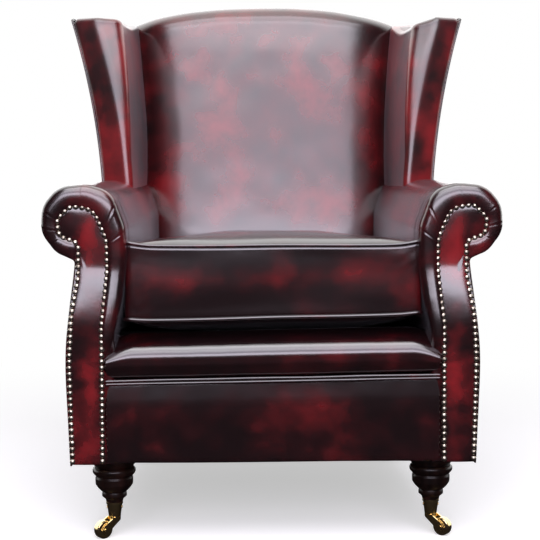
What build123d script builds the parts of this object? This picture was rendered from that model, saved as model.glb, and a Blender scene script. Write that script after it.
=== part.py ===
from build123d import *
import math
import os

os.makedirs("parts", exist_ok=True)

# Wingback chair with scroll arms, in millimetres.
# The origin is on the floor under the middle of the chair: the front faces -Y, right is +X.

# Driving dimensions of the whole chair
overall_depth = 800.0
back_height = 1001.0
arm_height = 631.0
scroll_outer_x = 402.0
base_z = 143.0
front_y = -overall_depth / 2
back_lean_per_mm = 0.095
back_bottom_y = 316.0
toe_in_per_mm = 0.045
fit_gap = 0.3
overrun = 60.0

# Thicknesses of covers and boards
leather = 4.0
side_leather = 3.0
facing_thickness = 3.0
facing_edge_round = 1.0
board_thickness = 15.0

# Front layers, from the lip back to the arm boards
lip_proud = 8.0
arm_front_y = front_y + lip_proud
border_proud = 4.5
border_front_y = arm_front_y - border_proud
rail_setback = 8.0
rail_front_y = arm_front_y + rail_setback

# Timber sections
rail_thickness = 32.0
side_rail_thickness = 28.0
rail_height = 122.0
side_rail_height = 100.0
front_post_width = 30.0
front_post_depth = 40.0
back_post_width = 28.0
back_post_depth = 36.0
rail_top_z = base_z + rail_height

# Arm: widths from the middle of the chair at the front, and the outline in shares of its box
arm_inner_x = 249.0
arm_width = scroll_outer_x - arm_inner_x
arm_rise = arm_height - base_z
arm_run_length = overall_depth + overrun
arm_run = Vector(-toe_in_per_mm * arm_run_length, arm_run_length, 0)
arm_cavity_x = 303.0
arm_cavity_z = 520.0
scroll_neck_z = 497.0
scroll_neck_x = 331.0
arm_pad_bottom_z = 268.0
arm_front_round = 11.0
arm_outline_shares = [
    (0.660, 0.000), (0.706, 0.392), (0.601, 0.730), (0.830, 0.757), (1.008, 0.830),
    (1.000, 0.930), (0.840, 0.996), (0.500, 1.002), (0.120, 0.986), (0.015, 0.850),
    (0.035, 0.740), (0.125, 0.588), (0.190, 0.470), (0.190, 0.000),
]
arm_radius_shares = [3.9, 0.046, 0.26, 0.29, 0.26, 0.29, 0.39, 0.26, 0.40, 0.65, 0.98, 0.50]

# Facing panel inside the nail row, in shares of the arm's box
facing_outline_shares = [
    (0.637, 0.006), (0.663, 0.373), (0.637, 0.537), (0.572, 0.670), (0.572, 0.793),
    (0.784, 0.816), (0.807, 0.875), (0.654, 0.924), (0.392, 0.912), (0.248, 0.803),
    (0.248, 0.691), (0.304, 0.496), (0.304, 0.006),
]
facing_radius_shares = [3.27, 0.98, 0.33, 0.085, 0.085, 0.098, 0.105, 0.196, 0.33, 0.39, 0.98]
nail_head_radius = 4.75
nail_head_height = 3.5
nail_shank_radius = 0.9
nail_shank_length = 11.0
nail_pitch = 10.9

# Arm rail and posts inside the arm
arm_rail_width = 65.0
arm_rail_height = 35.0
arm_rail_bottom_z = 545.0
arm_rail_x = 300.0
front_post_x = 306.0
back_post_x = 272.0
back_post_top_z = 940.0
top_rail_height = 50.0
top_rail_padding = 30.0

# Wing: plan corners at three heights, as inner front, outer front, outer rear and inner rear
wing_top_z = 957.0
wing_mid_z = 785.0
wing_low_z = 622.0
wing_root_z = 560.0
wing_band = 50.0
wing_front_x_low, wing_front_x_mid, wing_front_x_top = 277.0, 299.0, 344.0
wing_front_y_low, wing_front_y_mid, wing_front_y_top = -45.0, -18.0, 22.0
wing_seam_x_low, wing_seam_x_mid, wing_seam_x_top = 257.0, 261.0, 277.0
wing_rear_x_low, wing_rear_x_mid, wing_rear_x_top = 307.0, 308.0, 311.0
wing_seam_depth = 250.0
wing_front_round = 16.0
wing_board_thickness = 18.0
wing_board_inset = 7.0
wing_board_front_inset = 22.0

# Inside back
back_face_y = 146.0
back_face_bend_z = 500.0
back_face_top_y = 257.0
back_pad_bottom_z = 270.0
back_shoulder_z = 956.0
back_arch_power = 2.6
back_section_shares = [-1.0, -0.9, -0.74, -0.45, 0.0, 0.45, 0.74, 0.9, 1.0]
back_half_width = 290.0
back_side_setback = 62.0
back_setback_power = 6.0
back_front_roll = 46.0
back_rear_roll = 34.0
back_roll_share = 1 / 3
back_waist_radius = 260.0
webbing_thickness = 2.0
webbing_width = 50.0
webbing_count = 6
webbing_low_z = 400.0
lower_rail_drop = 100.0
lower_rail_height = 50.0

# Outside back, half widths
outside_back_bottom_x = 318.0
outside_back_arm_x = 309.0
outside_back_top_x = 306.0
outside_back_drop = 20.0

# Seat deck
deck_front_z = 372.0
seat_tilt = 2.8
deck_setback = 60.0
cushion_setback = 4.0
deck_front_y = front_y + deck_setback
cushion_front_y = front_y + cushion_setback
spring_wire_radius = 1.75
spring_count = 5
spring_spacing = 90.0
spring_bend_radius = 16.0
spring_half_width = 24.0
spring_front_bite, spring_rear_bite = 16.0, 11.0
spring_rise = 0.7
spring_z = rail_top_z + spring_wire_radius + spring_rise
clip_width, clip_depth = 20.0, 12.0
clip_height = spring_z + spring_wire_radius / 2 - rail_top_z
deck_bottom_z = spring_z + spring_wire_radius + fit_gap

# Lip, welts and border across the front
welt_radius = 3.4
welt_low_z = 286.0
welt_high_z = welt_low_z + 4 * welt_radius
front_half_width = 289.3
lip_nose_z = 330.0
lip_shoulder_z = 354.0
lip_foot_depth = 8.0
lip_setback, lip_crest_depth, lip_drop = 4.0, 20.0, 0.6
lip_nose_radius, lip_shoulder_radius, lip_crest_radius = 24.0, 12.0, 16.0
deck_edge_z = deck_front_z - (deck_front_y - cushion_front_y) * math.tan(math.radians(seat_tilt))

# Cushion, in its own tilted plane
cushion_half_width = 246.7
cushion_length = 530.0
cushion_border = 134.5
cushion_crown = 20.0
cushion_belly = 23.0
cushion_draw_in = 4.0
cushion_corner = 20.0
cushion_section_shares = [-1.0, -0.6, 0.0, 0.6, 1.0]
cushion_welt_radius = 4.0
cover_thickness = 4.5
edge_crown_share = 0.06
zip_length, zip_width, zip_depth = 300.0, 9.0, 1.5

# Legs
leg_from_arm_inner, leg_from_front = 35.0, 60.0
front_leg_x, front_leg_y = arm_inner_x + leg_from_arm_inner, front_y + leg_from_front
rear_leg_inset, rear_leg_from_back = 4.0, 40.0
rear_leg_x, rear_leg_y = back_post_x - rear_leg_inset, back_bottom_y - rear_leg_from_back
rear_leg_top, rear_leg_foot = 45.0, 32.0
rear_leg_rake = 45.0
cloth = 1.33
cloth_edge = 8.0
leg_spigot_shoulder_z = 62.5
leg_profile_shares = [
    (1.000, 1.000), (0.985, 0.940), (0.900, 0.870), (0.800, 0.805), (0.885, 0.775),
    (0.885, 0.655), (0.785, 0.595), (0.810, 0.545), (0.805, 0.420), (0.690, 0.330),
    (0.510, 0.240), (0.530, 0.190), (0.530, 0.140), (0.390, 0.075), (0.350, 0.000),
]
leg_radius = 41.6
bolt_radius = 4.0
bolt_length = 80.0
bolt_in_leg = 32.0
block_leg = 44.0
block_height = 70.0
bolt_inset = 15.0

# Brass castors
cup_top_radius, cup_foot_radius = 13.8, 10.7
cup_wall = 1.6
cup_foot_z = 36.0
cup_floor = 3.0
cup_rim_radius, cup_rim_height = 15.0, 3.0
pin_radius = 4.0
pin_head_radius, pin_head_height = 6.0, 2.5
running_gap = 0.08
wheel_radius, wheel_width = 16.0, 15.0
wheel_edge_round = 3.0
wheel_side_gap, wheel_top_gap = 0.6, 1.2
castor_trail = 24.5
castor_angle = 38.0
cheek_thickness = 2.6
cheek_front_share = 0.8
eye_radius = 7.6
axle_radius = 2.5
axle_head_radius, axle_head_height = 3.8, 1.4
screw_radius, screw_head_radius = 1.2, 2.4
screw_length = 7.0
screw_drop, screw_seat_depth = 9.0, 0.8


def keep(piece, name):
    """Label a finished piece and write its file."""
    piece.part.label = name
    export_step(piece.part, "parts/" + name + ".step")
    return piece.part


def keep_pair(piece, name):
    """Write a piece of the right side and its mirror image on the left."""
    right = keep(piece, name + "_right")
    with BuildPart() as twin:
        mirror(right, about=Plane.YZ)
    keep(twin, name + "_left")
    return right, twin.part


def front_plane(y):
    """Upright plane across the chair at the depth y, drawn in X and Z."""
    return Plane.XZ.offset(-y)


def back_plane_y(z, inset=0.0):
    """Depth of the outside back's face at the height z, less an inset."""
    return back_bottom_y - inset + back_lean_per_mm * (z - base_z)


def leaning_plane(inset):
    """Plane parallel to the outside back, drawn with X across and Y up the back."""
    rise = Vector(0, back_lean_per_mm, 1).normalized()
    origin = (0, back_plane_y(base_z, inset), base_z)
    return Plane(origin=origin, x_dir=(-1, 0, 0), z_dir=Vector(-1, 0, 0).cross(rise))


def in_arm_box(shares, shift=0.0):
    """Points of an arm outline from shares of the arm's width and rise."""
    return [(arm_inner_x - shift + u * arm_width, base_z + v * arm_rise) for u, v in shares]


def rounded_outline(points, radius_shares):
    """Closed outline through points, with arcs at its inner corners."""
    radii = [share * arm_width for share in radius_shares]
    outline = FilletPolyline(*points, radius=radii)
    Line(outline @ 1, outline @ 0)
    return outline


def arm_face(y=arm_front_y, shift=0.0):
    """The arm's whole end outline, sketched at the depth y."""
    with BuildSketch(front_plane(y)) as face:
        with BuildLine():
            rounded_outline(in_arm_box(arm_outline_shares, shift), arm_radius_shares)
        make_face()
    return face.sketch


def facing_face(y, margin):
    """The facing's outline, grown by a margin from the line of the nails."""
    with BuildSketch(front_plane(y)) as face:
        with BuildLine():
            rounded_outline(in_arm_box(facing_outline_shares), facing_radius_shares)
        make_face()
        offset(amount=margin)
    return face.sketch


def shear_x(y):
    """How far an arm has drawn in at the depth y."""
    return toe_in_per_mm * (y - arm_front_y)

# Whole arm as one block, used to cut the pieces that sit against it
with BuildPart() as arm_block:
    extrude(arm_face(), amount=arm_run.length, dir=arm_run)
arm_blocks = [arm_block.part, mirror(arm_block.part, about=Plane.YZ)]

# Arm board: shaped ply at the front of the arm
with BuildPart() as board:
    with BuildSketch(front_plane(arm_front_y)):
        add(facing_face(arm_front_y, nail_head_radius))
        add(arm_face(shift=side_leather), mode=Mode.INTERSECT)
    extrude(amount=-board_thickness)
arm_boards = keep_pair(board, "arm_board")

# Arm facing: leather panel nailed over the board
with BuildPart() as facing:
    extrude(facing_face(arm_front_y, nail_head_radius), amount=facing_thickness)
    front_rim = facing.faces().sort_by(Axis.Y)[0].edges()
    fillet(front_rim, radius=facing_edge_round)
keep_pair(facing, "arm_facing")


def nail_places():
    """Places of the nails, evenly spaced along the facing's nail line."""
    with BuildLine(front_plane(arm_front_y - facing_thickness)) as row:
        points = in_arm_box(facing_outline_shares)
        radii = [share * arm_width for share in facing_radius_shares]
        FilletPolyline(*points, radius=radii)
    wire = row.wire()
    count = round(wire.length / nail_pitch)
    return [wire.position_at((index + 0.5) / count) for index in range(count)]

# Nail trim: domed brass nails, each with its shank
with BuildPart() as one_nail:
    with BuildSketch(Plane.XZ):
        with BuildLine():
            dome = ThreePointArc(
                (0, nail_head_height),
                (nail_head_radius * math.sin(math.pi / 4), nail_head_height * math.cos(math.pi / 4)),
                (nail_head_radius, 0),
            )
            Polyline(
                dome @ 1, (nail_shank_radius, 0), (nail_shank_radius, -nail_shank_length),
                (0, -nail_shank_length), dome @ 0,
            )
        make_face()
    revolve(axis=Axis.Z)
with BuildPart() as nails:
    for place in nail_places():
        with Locations(Plane(origin=place, z_dir=(0, -1, 0))):
            add(one_nail.part)
keep_pair(nails, "nail_trim")


def sheared_bar(x, width, bottom_z, height, start_y, end_y):
    """A bar along the arm that draws in with it."""
    run = Vector(-toe_in_per_mm * (end_y - start_y), end_y - start_y, 0)
    left = x - shear_x(start_y)
    with BuildPart() as bar:
        with BuildSketch(front_plane(start_y)):
            with BuildLine():
                Polyline(
                    (left, bottom_z), (left + width, bottom_z), (left + width, bottom_z + height),
                    (left, bottom_z + height), close=True,
                )
            make_face()
        extrude(amount=run.length, dir=run)
    return bar

# Front post behind the arm board
front_post_y = arm_front_y + board_thickness
with BuildPart() as front_post:
    with BuildSketch(Plane.XY.offset(base_z)):
        with Locations((front_post_x, front_post_y)):
            Rectangle(front_post_width, front_post_depth, align=(Align.MIN, Align.MIN))
    extrude(amount=arm_rail_bottom_z - base_z)
front_posts = keep_pair(front_post, "front_post")

# Back post, leaning with the back
post_face_inset = leather + back_post_depth
with BuildPart() as back_post:
    with BuildSketch(Plane.XY.offset(base_z)):
        with Locations((back_post_x, back_plane_y(base_z, post_face_inset))):
            Rectangle(back_post_width, back_post_depth, align=(Align.MIN, Align.MIN))
    post_run = Vector(0, back_lean_per_mm, 1) * (back_post_top_z - base_z)
    extrude(amount=post_run.length, dir=post_run)
back_posts = keep_pair(back_post, "back_post")

# Arm rail between the board and the back post
arm_rail = sheared_bar(
    arm_rail_x, arm_rail_width, arm_rail_bottom_z, arm_rail_height, front_post_y, back_plane_y(arm_height)
)
with BuildPart() as arm_rail_cut:
    add(arm_rail.part)
    split(bisect_by=leaning_plane(post_face_inset), keep=Keep.BOTTOM)
arm_rails = keep_pair(arm_rail_cut, "arm_rail")

# Side seat rail between the posts
side_rail = sheared_bar(
    arm_cavity_x, side_rail_thickness, base_z, side_rail_height,
    front_post_y + front_post_depth, back_plane_y(base_z, post_face_inset),
)
with BuildPart() as side_rail_cut:
    add(side_rail.part)
    add(back_posts[0], mode=Mode.SUBTRACT)
keep_pair(side_rail_cut, "side_seat_rail")


def cross_rail(name, low_y, half_width, bottom_z, height, cutters=()):
    """A straight rail across the chair, less the pieces that it is notched round."""
    with BuildPart() as rail:
        with BuildSketch(Plane.XY.offset(bottom_z)):
            with Locations((0, low_y + rail_thickness / 2)):
                Rectangle(2 * half_width, rail_thickness)
        extrude(amount=height)
        for cutter in cutters:
            add(cutter, mode=Mode.SUBTRACT)
    return keep(rail, name)

# Front, rear and lower back rails; the front rail is notched round the arm boards
cross_rail("front_seat_rail", rail_front_y, front_post_x, base_z, rail_height, arm_boards)
rear_rail_y = back_plane_y(base_z, post_face_inset) + leather
cross_rail("rear_seat_rail", rear_rail_y - leather, back_post_x, base_z, rail_height)
lower_rail_z = webbing_low_z - lower_rail_drop
lower_rail = cross_rail(
    "lower_back_rail", back_plane_y(lower_rail_z, post_face_inset), back_post_x,
    lower_rail_z, lower_rail_height,
)


def arch_z(x):
    """Height of the back's arched top at the distance x from the middle."""
    drop = back_height - back_shoulder_z
    return back_height - drop * (abs(x) / back_half_width) ** back_arch_power

# Top back rail, arched under the padding
with BuildPart() as top_rail:
    with BuildSketch(front_plane(back_plane_y(back_post_top_z, post_face_inset))):
        with BuildLine():
            crest = ThreePointArc(
                (-back_post_x, back_post_top_z), (0, arch_z(0) - top_rail_padding),
                (back_post_x, back_post_top_z),
            )
            Polyline(
                crest @ 1, (back_post_x, back_post_top_z - top_rail_height),
                (-back_post_x, back_post_top_z - top_rail_height), crest @ 0,
            )
        make_face()
    extrude(amount=-side_rail_thickness)
top_rail_part = keep(top_rail, "top_back_rail")

# Back webbing: bands stapled across the fronts of the back posts
with BuildPart() as webbing:
    band_gap = (back_post_top_z - top_rail_height - webbing_low_z) / webbing_count
    for index in range(webbing_count):
        up = (webbing_low_z - base_z + index * band_gap) * math.hypot(1, back_lean_per_mm)
        with BuildSketch(leaning_plane(post_face_inset)):
            with Locations((0, up)):
                Rectangle(2 * (back_post_x + back_post_width - leather), webbing_width)
        extrude(amount=-webbing_thickness)
    for rail in arm_rails:
        add(rail, mode=Mode.SUBTRACT)
webbing_part = keep(webbing, "back_webbing")


def wing_plan(z, front_x, front_yy, seam_x, rear_x):
    """Plan corners of the wing at one height: inner front, outer front, outer rear, inner rear."""
    rear_y = back_plane_y(z, leather)
    return [
        (front_x, front_yy), (front_x + wing_band, front_yy + wing_board_inset), (rear_x, rear_y),
        (seam_x, rear_y), (seam_x, front_yy + wing_seam_depth),
    ]

wing_levels = [
    (wing_root_z, wing_front_x_low, wing_front_y_low, wing_seam_x_low, wing_rear_x_low),
    (wing_low_z, wing_front_x_low, wing_front_y_low, wing_seam_x_low, wing_rear_x_low),
    (wing_mid_z, wing_front_x_mid, wing_front_y_mid, wing_seam_x_mid, wing_rear_x_mid),
    (wing_top_z, wing_front_x_top, wing_front_y_top, wing_seam_x_top, wing_rear_x_top),
]


def inset_plan(corners, outer_inset, inner_depth, front_inset, rear_inset):
    """Plan of a layer beside the wing's outer face, cut short at the front and rear."""
    outer_front, outer_rear = Vector(*corners[1]), Vector(*corners[2])
    along = (outer_rear - outer_front).normalized()
    inward = Vector(-along.Y, along.X)
    start = outer_front + along * front_inset
    end = outer_rear - along * rear_inset
    layers = [start + inward * outer_inset, end + inward * outer_inset]
    layers += [end + inward * inner_depth, start + inward * inner_depth]
    return [(point.X, point.Y) for point in layers]


def plan_loft(levels, plan, rounding=None):
    """Loft through plan outlines at rising heights."""
    with BuildPart() as body:
        for level in levels:
            corners = plan(level)
            with BuildSketch(Plane.XY.offset(level[0])) as section:
                with BuildLine():
                    Polyline(*corners, close=True)
                make_face()
                if rounding:
                    front = section.vertices().sort_by(Axis.Y)[:2]
                    fillet(front, radius=rounding)
        loft()
    return body

wing_block = plan_loft(wing_levels[1:], lambda level: wing_plan(*level), wing_front_round)
with BuildPart() as wing_root:
    with BuildSketch(Plane.XY.offset(wing_root_z)) as root_section:
        with BuildLine():
            Polyline(*wing_plan(*wing_levels[1]), close=True)
        make_face()
        fillet(root_section.vertices().sort_by(Axis.Y)[:2], radius=wing_front_round)
    extrude(amount=wing_low_z - wing_root_z)


def wing_board_plan(level):
    """Plan of the wing board at one level, just inside the wing's outer face."""
    depth = wing_board_inset + wing_board_thickness
    rear_inset = wing_board_front_inset + back_post_depth
    return inset_plan(wing_plan(*level), wing_board_inset, depth, wing_board_front_inset, rear_inset)

# Wing board: the timber inside the wing, standing on the arm rail
wing_board = plan_loft(wing_levels[1:], wing_board_plan)
with BuildPart() as wing_board_cut:
    add(wing_board.part)
    split(bisect_by=Plane.XY.offset(wing_top_z - wing_board_thickness), keep=Keep.BOTTOM)
    with BuildSketch(Plane.XY.offset(arm_rail_bottom_z + arm_rail_height)):
        with BuildLine():
            Polyline(*wing_board_plan(wing_levels[1]), close=True)
        make_face()
    extrude(amount=wing_low_z - arm_rail_bottom_z - arm_rail_height)
    add(back_posts[0], mode=Mode.SUBTRACT)
wing_boards = keep_pair(wing_board_cut, "wing_board")

# Outside wing: leather panel on the wing's outer face, down to the arm
outside_wing = plan_loft(
    wing_levels[1:],
    lambda level: inset_plan(wing_plan(*level), -overrun, leather, wing_front_round, -overrun),
)
with BuildPart() as outside_wing_cut:
    add(wing_block.part)
    add(outside_wing.part, mode=Mode.INTERSECT)
    add(arm_block.part, mode=Mode.SUBTRACT)
keep_pair(outside_wing_cut, "outside_wing")

# Wing pad: the padded wing with its front band
with BuildPart() as wing_pad:
    add(wing_block.part)
    add(wing_root.part)
    add(outside_wing.part, mode=Mode.SUBTRACT)
    add(arm_block.part, mode=Mode.SUBTRACT)
    add(wing_boards[0], mode=Mode.SUBTRACT)
    add(back_posts[0], mode=Mode.SUBTRACT)
    add(webbing_part, mode=Mode.SUBTRACT)
    add(top_rail_part, mode=Mode.SUBTRACT)
keep_pair(wing_pad, "wing_pad")

# Arm pad: padded scroll and inner side round the hollow of the arm
with BuildPart() as arm_pad:
    with BuildSketch(front_plane(arm_front_y)):
        add(arm_face())
        with Locations((arm_cavity_x, scroll_neck_z)):
            Rectangle(
                arm_width, arm_rise, align=(Align.MIN, Align.MAX), mode=Mode.SUBTRACT
            )
        with Locations((arm_cavity_x, arm_cavity_z)):
            Rectangle(
                scroll_neck_x - arm_cavity_x, overrun, align=(Align.MIN, Align.MAX), mode=Mode.SUBTRACT
            )
        with Locations((arm_inner_x, arm_pad_bottom_z)):
            Rectangle(
                arm_width, arm_rise, align=(Align.MIN, Align.MAX), mode=Mode.SUBTRACT
            )
    extrude(amount=arm_run.length, dir=arm_run)
    rim = arm_pad.edges().filter_by(Plane.XZ).group_by(Axis.Y)[0]
    outer_rim = rim.filter_by(lambda edge: edge.center().Z > scroll_neck_z + leather)
    outer_rim = outer_rim.filter_by(
        lambda edge: edge.center().X > scroll_neck_x + leather or edge.center().Z > arm_cavity_z + leather
    )
    fillet(outer_rim, radius=arm_front_round)
    split(bisect_by=leaning_plane(leather), keep=Keep.BOTTOM)
    for timber in (arm_boards[0], front_posts[0], back_posts[0], arm_rails[0], wing_boards[0]):
        add(timber, mode=Mode.SUBTRACT)
    add(webbing_part, mode=Mode.SUBTRACT)
    add(lower_rail, mode=Mode.SUBTRACT)
arm_pads = keep_pair(arm_pad, "arm_pad")

# Outside arm: leather stretched from the neck of the scroll to the bottom
with BuildPart() as outside_arm:
    with BuildSketch(front_plane(arm_front_y)):
        add(arm_face())
        add(arm_face(shift=side_leather), mode=Mode.SUBTRACT)
        with Locations((scroll_neck_x, scroll_neck_z)):
            Rectangle(arm_width, arm_rise, align=(Align.MIN, Align.MAX), mode=Mode.INTERSECT)
    extrude(amount=arm_run.length, dir=arm_run)
    split(bisect_by=leaning_plane(leather), keep=Keep.BOTTOM)
    add(arm_boards[0], mode=Mode.SUBTRACT)
    add(front_posts[0], mode=Mode.SUBTRACT)
keep_pair(outside_arm, "outside_arm")


def back_section(x):
    """Side outline of the inside back at the distance x from the middle."""
    setback = back_side_setback * (abs(x) / back_half_width) ** back_setback_power
    top = arch_z(x)
    hook_z = back_post_top_z - top_rail_height
    pad_inset = post_face_inset + webbing_thickness
    front_roll = back_front_roll - back_roll_share * setback
    return FilletPolyline(
        (back_face_y + setback, back_pad_bottom_z),
        (back_face_y + setback, back_face_bend_z),
        (back_face_top_y + setback, top),
        (back_plane_y(top, leather), top),
        (back_plane_y(hook_z, leather), hook_z),
        (back_plane_y(hook_z, pad_inset), hook_z),
        (back_plane_y(back_pad_bottom_z, pad_inset), back_pad_bottom_z),
        radius=[back_waist_radius, front_roll, back_rear_roll, leather, leather],
    )

# Inside back: one padded panel with an arched, rolled top
with BuildPart() as inside_back:
    for share in back_section_shares:
        place = share * back_half_width
        with BuildSketch(Plane.YZ.offset(place)):
            with BuildLine():
                side = back_section(place)
                Line(side @ 1, side @ 0)
            make_face()
    loft()
    for block in arm_blocks:
        add(block, mode=Mode.SUBTRACT)
    for block in (wing_block.part, mirror(wing_block.part, about=Plane.YZ)):
        add(block, mode=Mode.SUBTRACT)
    for block in (wing_root.part, mirror(wing_root.part, about=Plane.YZ)):
        add(block, mode=Mode.SUBTRACT)
    for timber in back_posts + (webbing_part, top_rail_part, lower_rail):
        add(timber, mode=Mode.SUBTRACT)
keep(inside_back, "inside_back")

# Outside back: leather panel from the bottom rail to the rolled top
slope = math.hypot(1, back_lean_per_mm)
with BuildPart() as outside_back:
    with BuildSketch(leaning_plane(leather)):
        with BuildLine():
            panel_top = (back_shoulder_z - base_z) * slope
            panel_side = (arm_height - base_z) * slope
            crown = ThreePointArc(
                (-outside_back_top_x, panel_top), (0, (back_height - outside_back_drop - base_z) * slope),
                (outside_back_top_x, panel_top),
            )
            Polyline(
                crown @ 1, (outside_back_arm_x, panel_side), (outside_back_bottom_x, 0),
                (-outside_back_bottom_x, 0), (-outside_back_arm_x, panel_side), crown @ 0,
            )
        make_face()
    extrude(amount=leather)
keep(outside_back, "outside_back")

# Seat plane, tilted down to the back, through the top of the deck's front edge
seat_plane = Plane(origin=(0, cushion_front_y, deck_front_z), x_dir=(1, 0, 0)).rotated((-seat_tilt, 0, 0))

# Seat springs: zigzag wires from rail to rail
spring_start_y = rail_front_y + spring_front_bite
spring_end_y = rear_rail_y + spring_rear_bite
bar_count = int((spring_end_y - spring_start_y) // (2 * spring_bend_radius))
with BuildPart() as springs:
    with BuildLine(Plane.XY.offset(spring_z)) as zigzag:
        pitch = (spring_end_y - spring_start_y) / bar_count
        for index in range(bar_count):
            side_sign = 1 if index % 2 else -1
            y = spring_start_y + index * pitch
            reach = side_sign * (spring_half_width - pitch / 2)
            Line((-reach, y), (reach, y))
            ThreePointArc((reach, y), (reach + side_sign * pitch / 2, y + pitch / 2), (reach, y + pitch))
    with BuildSketch(Plane(origin=zigzag.wire() @ 0, z_dir=zigzag.wire() % 0)):
        Circle(spring_wire_radius)
    sweep(path=zigzag.wire())
spring_places = [(index - (spring_count - 1) / 2) * spring_spacing for index in range(spring_count)]
with BuildPart() as spring_set:
    for place in spring_places:
        with Locations(Plane(origin=(place, 0, 0))):
            add(springs.part)
springs_part = keep(spring_set, "seat_springs")

# Spring clips on the rails
with BuildPart() as clips:
    for place in spring_places:
        for clip_y in (spring_start_y, spring_end_y - pitch):
            with BuildSketch(Plane.XY.offset(rail_top_z)):
                with Locations((place, clip_y)):
                    Rectangle(clip_width, clip_depth)
            extrude(amount=clip_height)
    add(springs_part, mode=Mode.SUBTRACT)
keep(clips, "spring_clips")

# Corner blocks: glued blocks behind the rails over the legs
block_corners = [
    (rail_front_y + rail_thickness, arm_cavity_x - leather), (rear_rail_y - leather - block_leg, back_post_x),
]
with BuildPart() as blocks:
    for side_sign in (-1, 1):
        for low_y, right_x in block_corners:
            with BuildSketch(Plane.XY.offset(base_z)):
                with Locations((side_sign * (right_x - block_leg / 2), low_y + block_leg / 2)):
                    Rectangle(block_leg, block_leg)
            extrude(amount=block_height)

# Leg bolts, one up into each corner block
front_bolt = (arm_cavity_x - leather - block_leg / 2, rail_front_y + rail_thickness + bolt_inset)
rear_bolt = (back_post_x - bolt_inset, rear_rail_y - leather - bolt_inset)
with BuildPart() as bolts:
    for side_sign in (-1, 1):
        for bolt_x, bolt_y in (front_bolt, rear_bolt):
            with BuildSketch(Plane.XY.offset(base_z - bolt_in_leg)):
                with Locations((side_sign * bolt_x, bolt_y)):
                    Circle(bolt_radius)
            extrude(amount=bolt_length)
bolts_part = keep(bolts, "leg_bolts")
with BuildPart() as drilled_blocks:
    add(blocks.part)
    add(bolts_part, mode=Mode.SUBTRACT)
keep(drilled_blocks, "corner_blocks")

# Front border: padded leather below the welts
with BuildPart() as border:
    with BuildSketch(Plane.YZ.offset(-front_half_width)):
        with BuildLine():
            Polyline(
                (border_front_y, base_z), (border_front_y, welt_low_z),
                (arm_front_y - fit_gap, welt_low_z), (arm_front_y - fit_gap, welt_high_z),
                (rail_front_y, welt_high_z), (rail_front_y, base_z), close=True,
            )
        make_face()
    extrude(amount=2 * front_half_width)
    for block in arm_pads + arm_boards + front_posts:
        add(block, mode=Mode.SUBTRACT)
keep(border, "front_border")

# Front welts: two cords side by side under the lip
with BuildPart() as welts:
    for welt_z in (welt_low_z + welt_radius, welt_high_z - welt_radius):
        with BuildSketch(Plane.YZ.offset(-front_half_width)):
            with Locations((arm_front_y - fit_gap - welt_radius, welt_z)):
                Circle(welt_radius)
        extrude(amount=2 * front_half_width)
keep(welts, "front_piping")

# Front lip: a rolled pad along the front edge of the deck
with BuildPart() as lip:
    with BuildSketch(Plane.YZ.offset(-front_half_width)):
        with BuildLine():
            nose = FilletPolyline(
                (border_front_y, welt_high_z), (front_y, lip_nose_z), (front_y + lip_setback, lip_shoulder_z),
                (front_y + lip_crest_depth, deck_front_z - lip_drop), (deck_front_y, deck_edge_z),
                radius=[lip_nose_radius, lip_shoulder_radius, lip_crest_radius],
            )
            Polyline(
                nose @ 1, (deck_front_y, deck_bottom_z), (rail_front_y + lip_foot_depth, deck_bottom_z),
                (rail_front_y + lip_foot_depth, rail_top_z), (rail_front_y, rail_top_z),
                (rail_front_y, welt_high_z), nose @ 0,
            )
        make_face()
    extrude(amount=2 * front_half_width)
    for block in arm_pads + arm_boards + front_posts:
        add(block, mode=Mode.SUBTRACT)
keep(lip, "front_lip")


def deck_half_width(y):
    """Half the width between the arms at the depth y, less a small gap."""
    return arm_inner_x + arm_outline_shares[-1][0] * arm_width - shear_x(y) - fit_gap

# Seat deck between the arms
deck_rear_y = back_face_y - fit_gap
with BuildPart() as deck:
    with BuildSketch(Plane.XY.offset(deck_bottom_z)):
        with BuildLine():
            Polyline(
                (-deck_half_width(deck_front_y), deck_front_y), (deck_half_width(deck_front_y), deck_front_y),
                (deck_half_width(deck_rear_y), deck_rear_y), (-deck_half_width(deck_rear_y), deck_rear_y),
                close=True,
            )
        make_face()
    extrude(amount=deck_front_z - deck_bottom_z + overrun)
    split(bisect_by=seat_plane, keep=Keep.BOTTOM)
keep(deck, "seat_platform")


def cushion_plan(height, inset=0.0):
    """The cushion's outline seen from above, narrower at the back, at one height."""
    front_half = cushion_half_width - inset
    rear_half = front_half - toe_in_per_mm * cushion_length
    near, far = inset, cushion_length - inset
    with BuildSketch(seat_plane.offset(fit_gap + height)) as plan:
        with BuildLine():
            front = ThreePointArc((-front_half, near), (0, near + cushion_draw_in), (front_half, near))
            rear = ThreePointArc((rear_half, far), (0, far - cushion_draw_in), (-rear_half, far))
            Line(front @ 1, rear @ 0)
            Line(rear @ 1, front @ 0)
        make_face()
        fillet(plan.vertices(), radius=cushion_corner - inset)
    return plan.sketch


def cushion_form(inset):
    """The cushion's crowned form, made smaller all round by an inset."""
    low, high = cushion_belly + inset, cushion_belly + cushion_border - inset
    with BuildPart() as form:
        for share in cushion_section_shares:
            fullness = edge_crown_share + (1 - edge_crown_share) * (1 - share ** 2)
            middle = cushion_length / 2
            with BuildSketch(Plane.YZ.offset(share * cushion_half_width)):
                with BuildLine():
                    crest = (middle, high + cushion_crown * fullness)
                    belly = (middle, low - cushion_belly * fullness)
                    top = ThreePointArc((0, high), crest, (cushion_length, high))
                    bottom = ThreePointArc((cushion_length, low), belly, (0, low))
                    Line(top @ 1, bottom @ 0)
                    Line(bottom @ 1, top @ 0)
                make_face()
        loft()
    with BuildPart() as outline:
        with Locations(seat_plane.offset(fit_gap)):
            add(form.part)
        extrude(cushion_plan(-overrun, inset), amount=cushion_border + 3 * overrun, mode=Mode.INTERSECT)
    return outline.part

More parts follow.
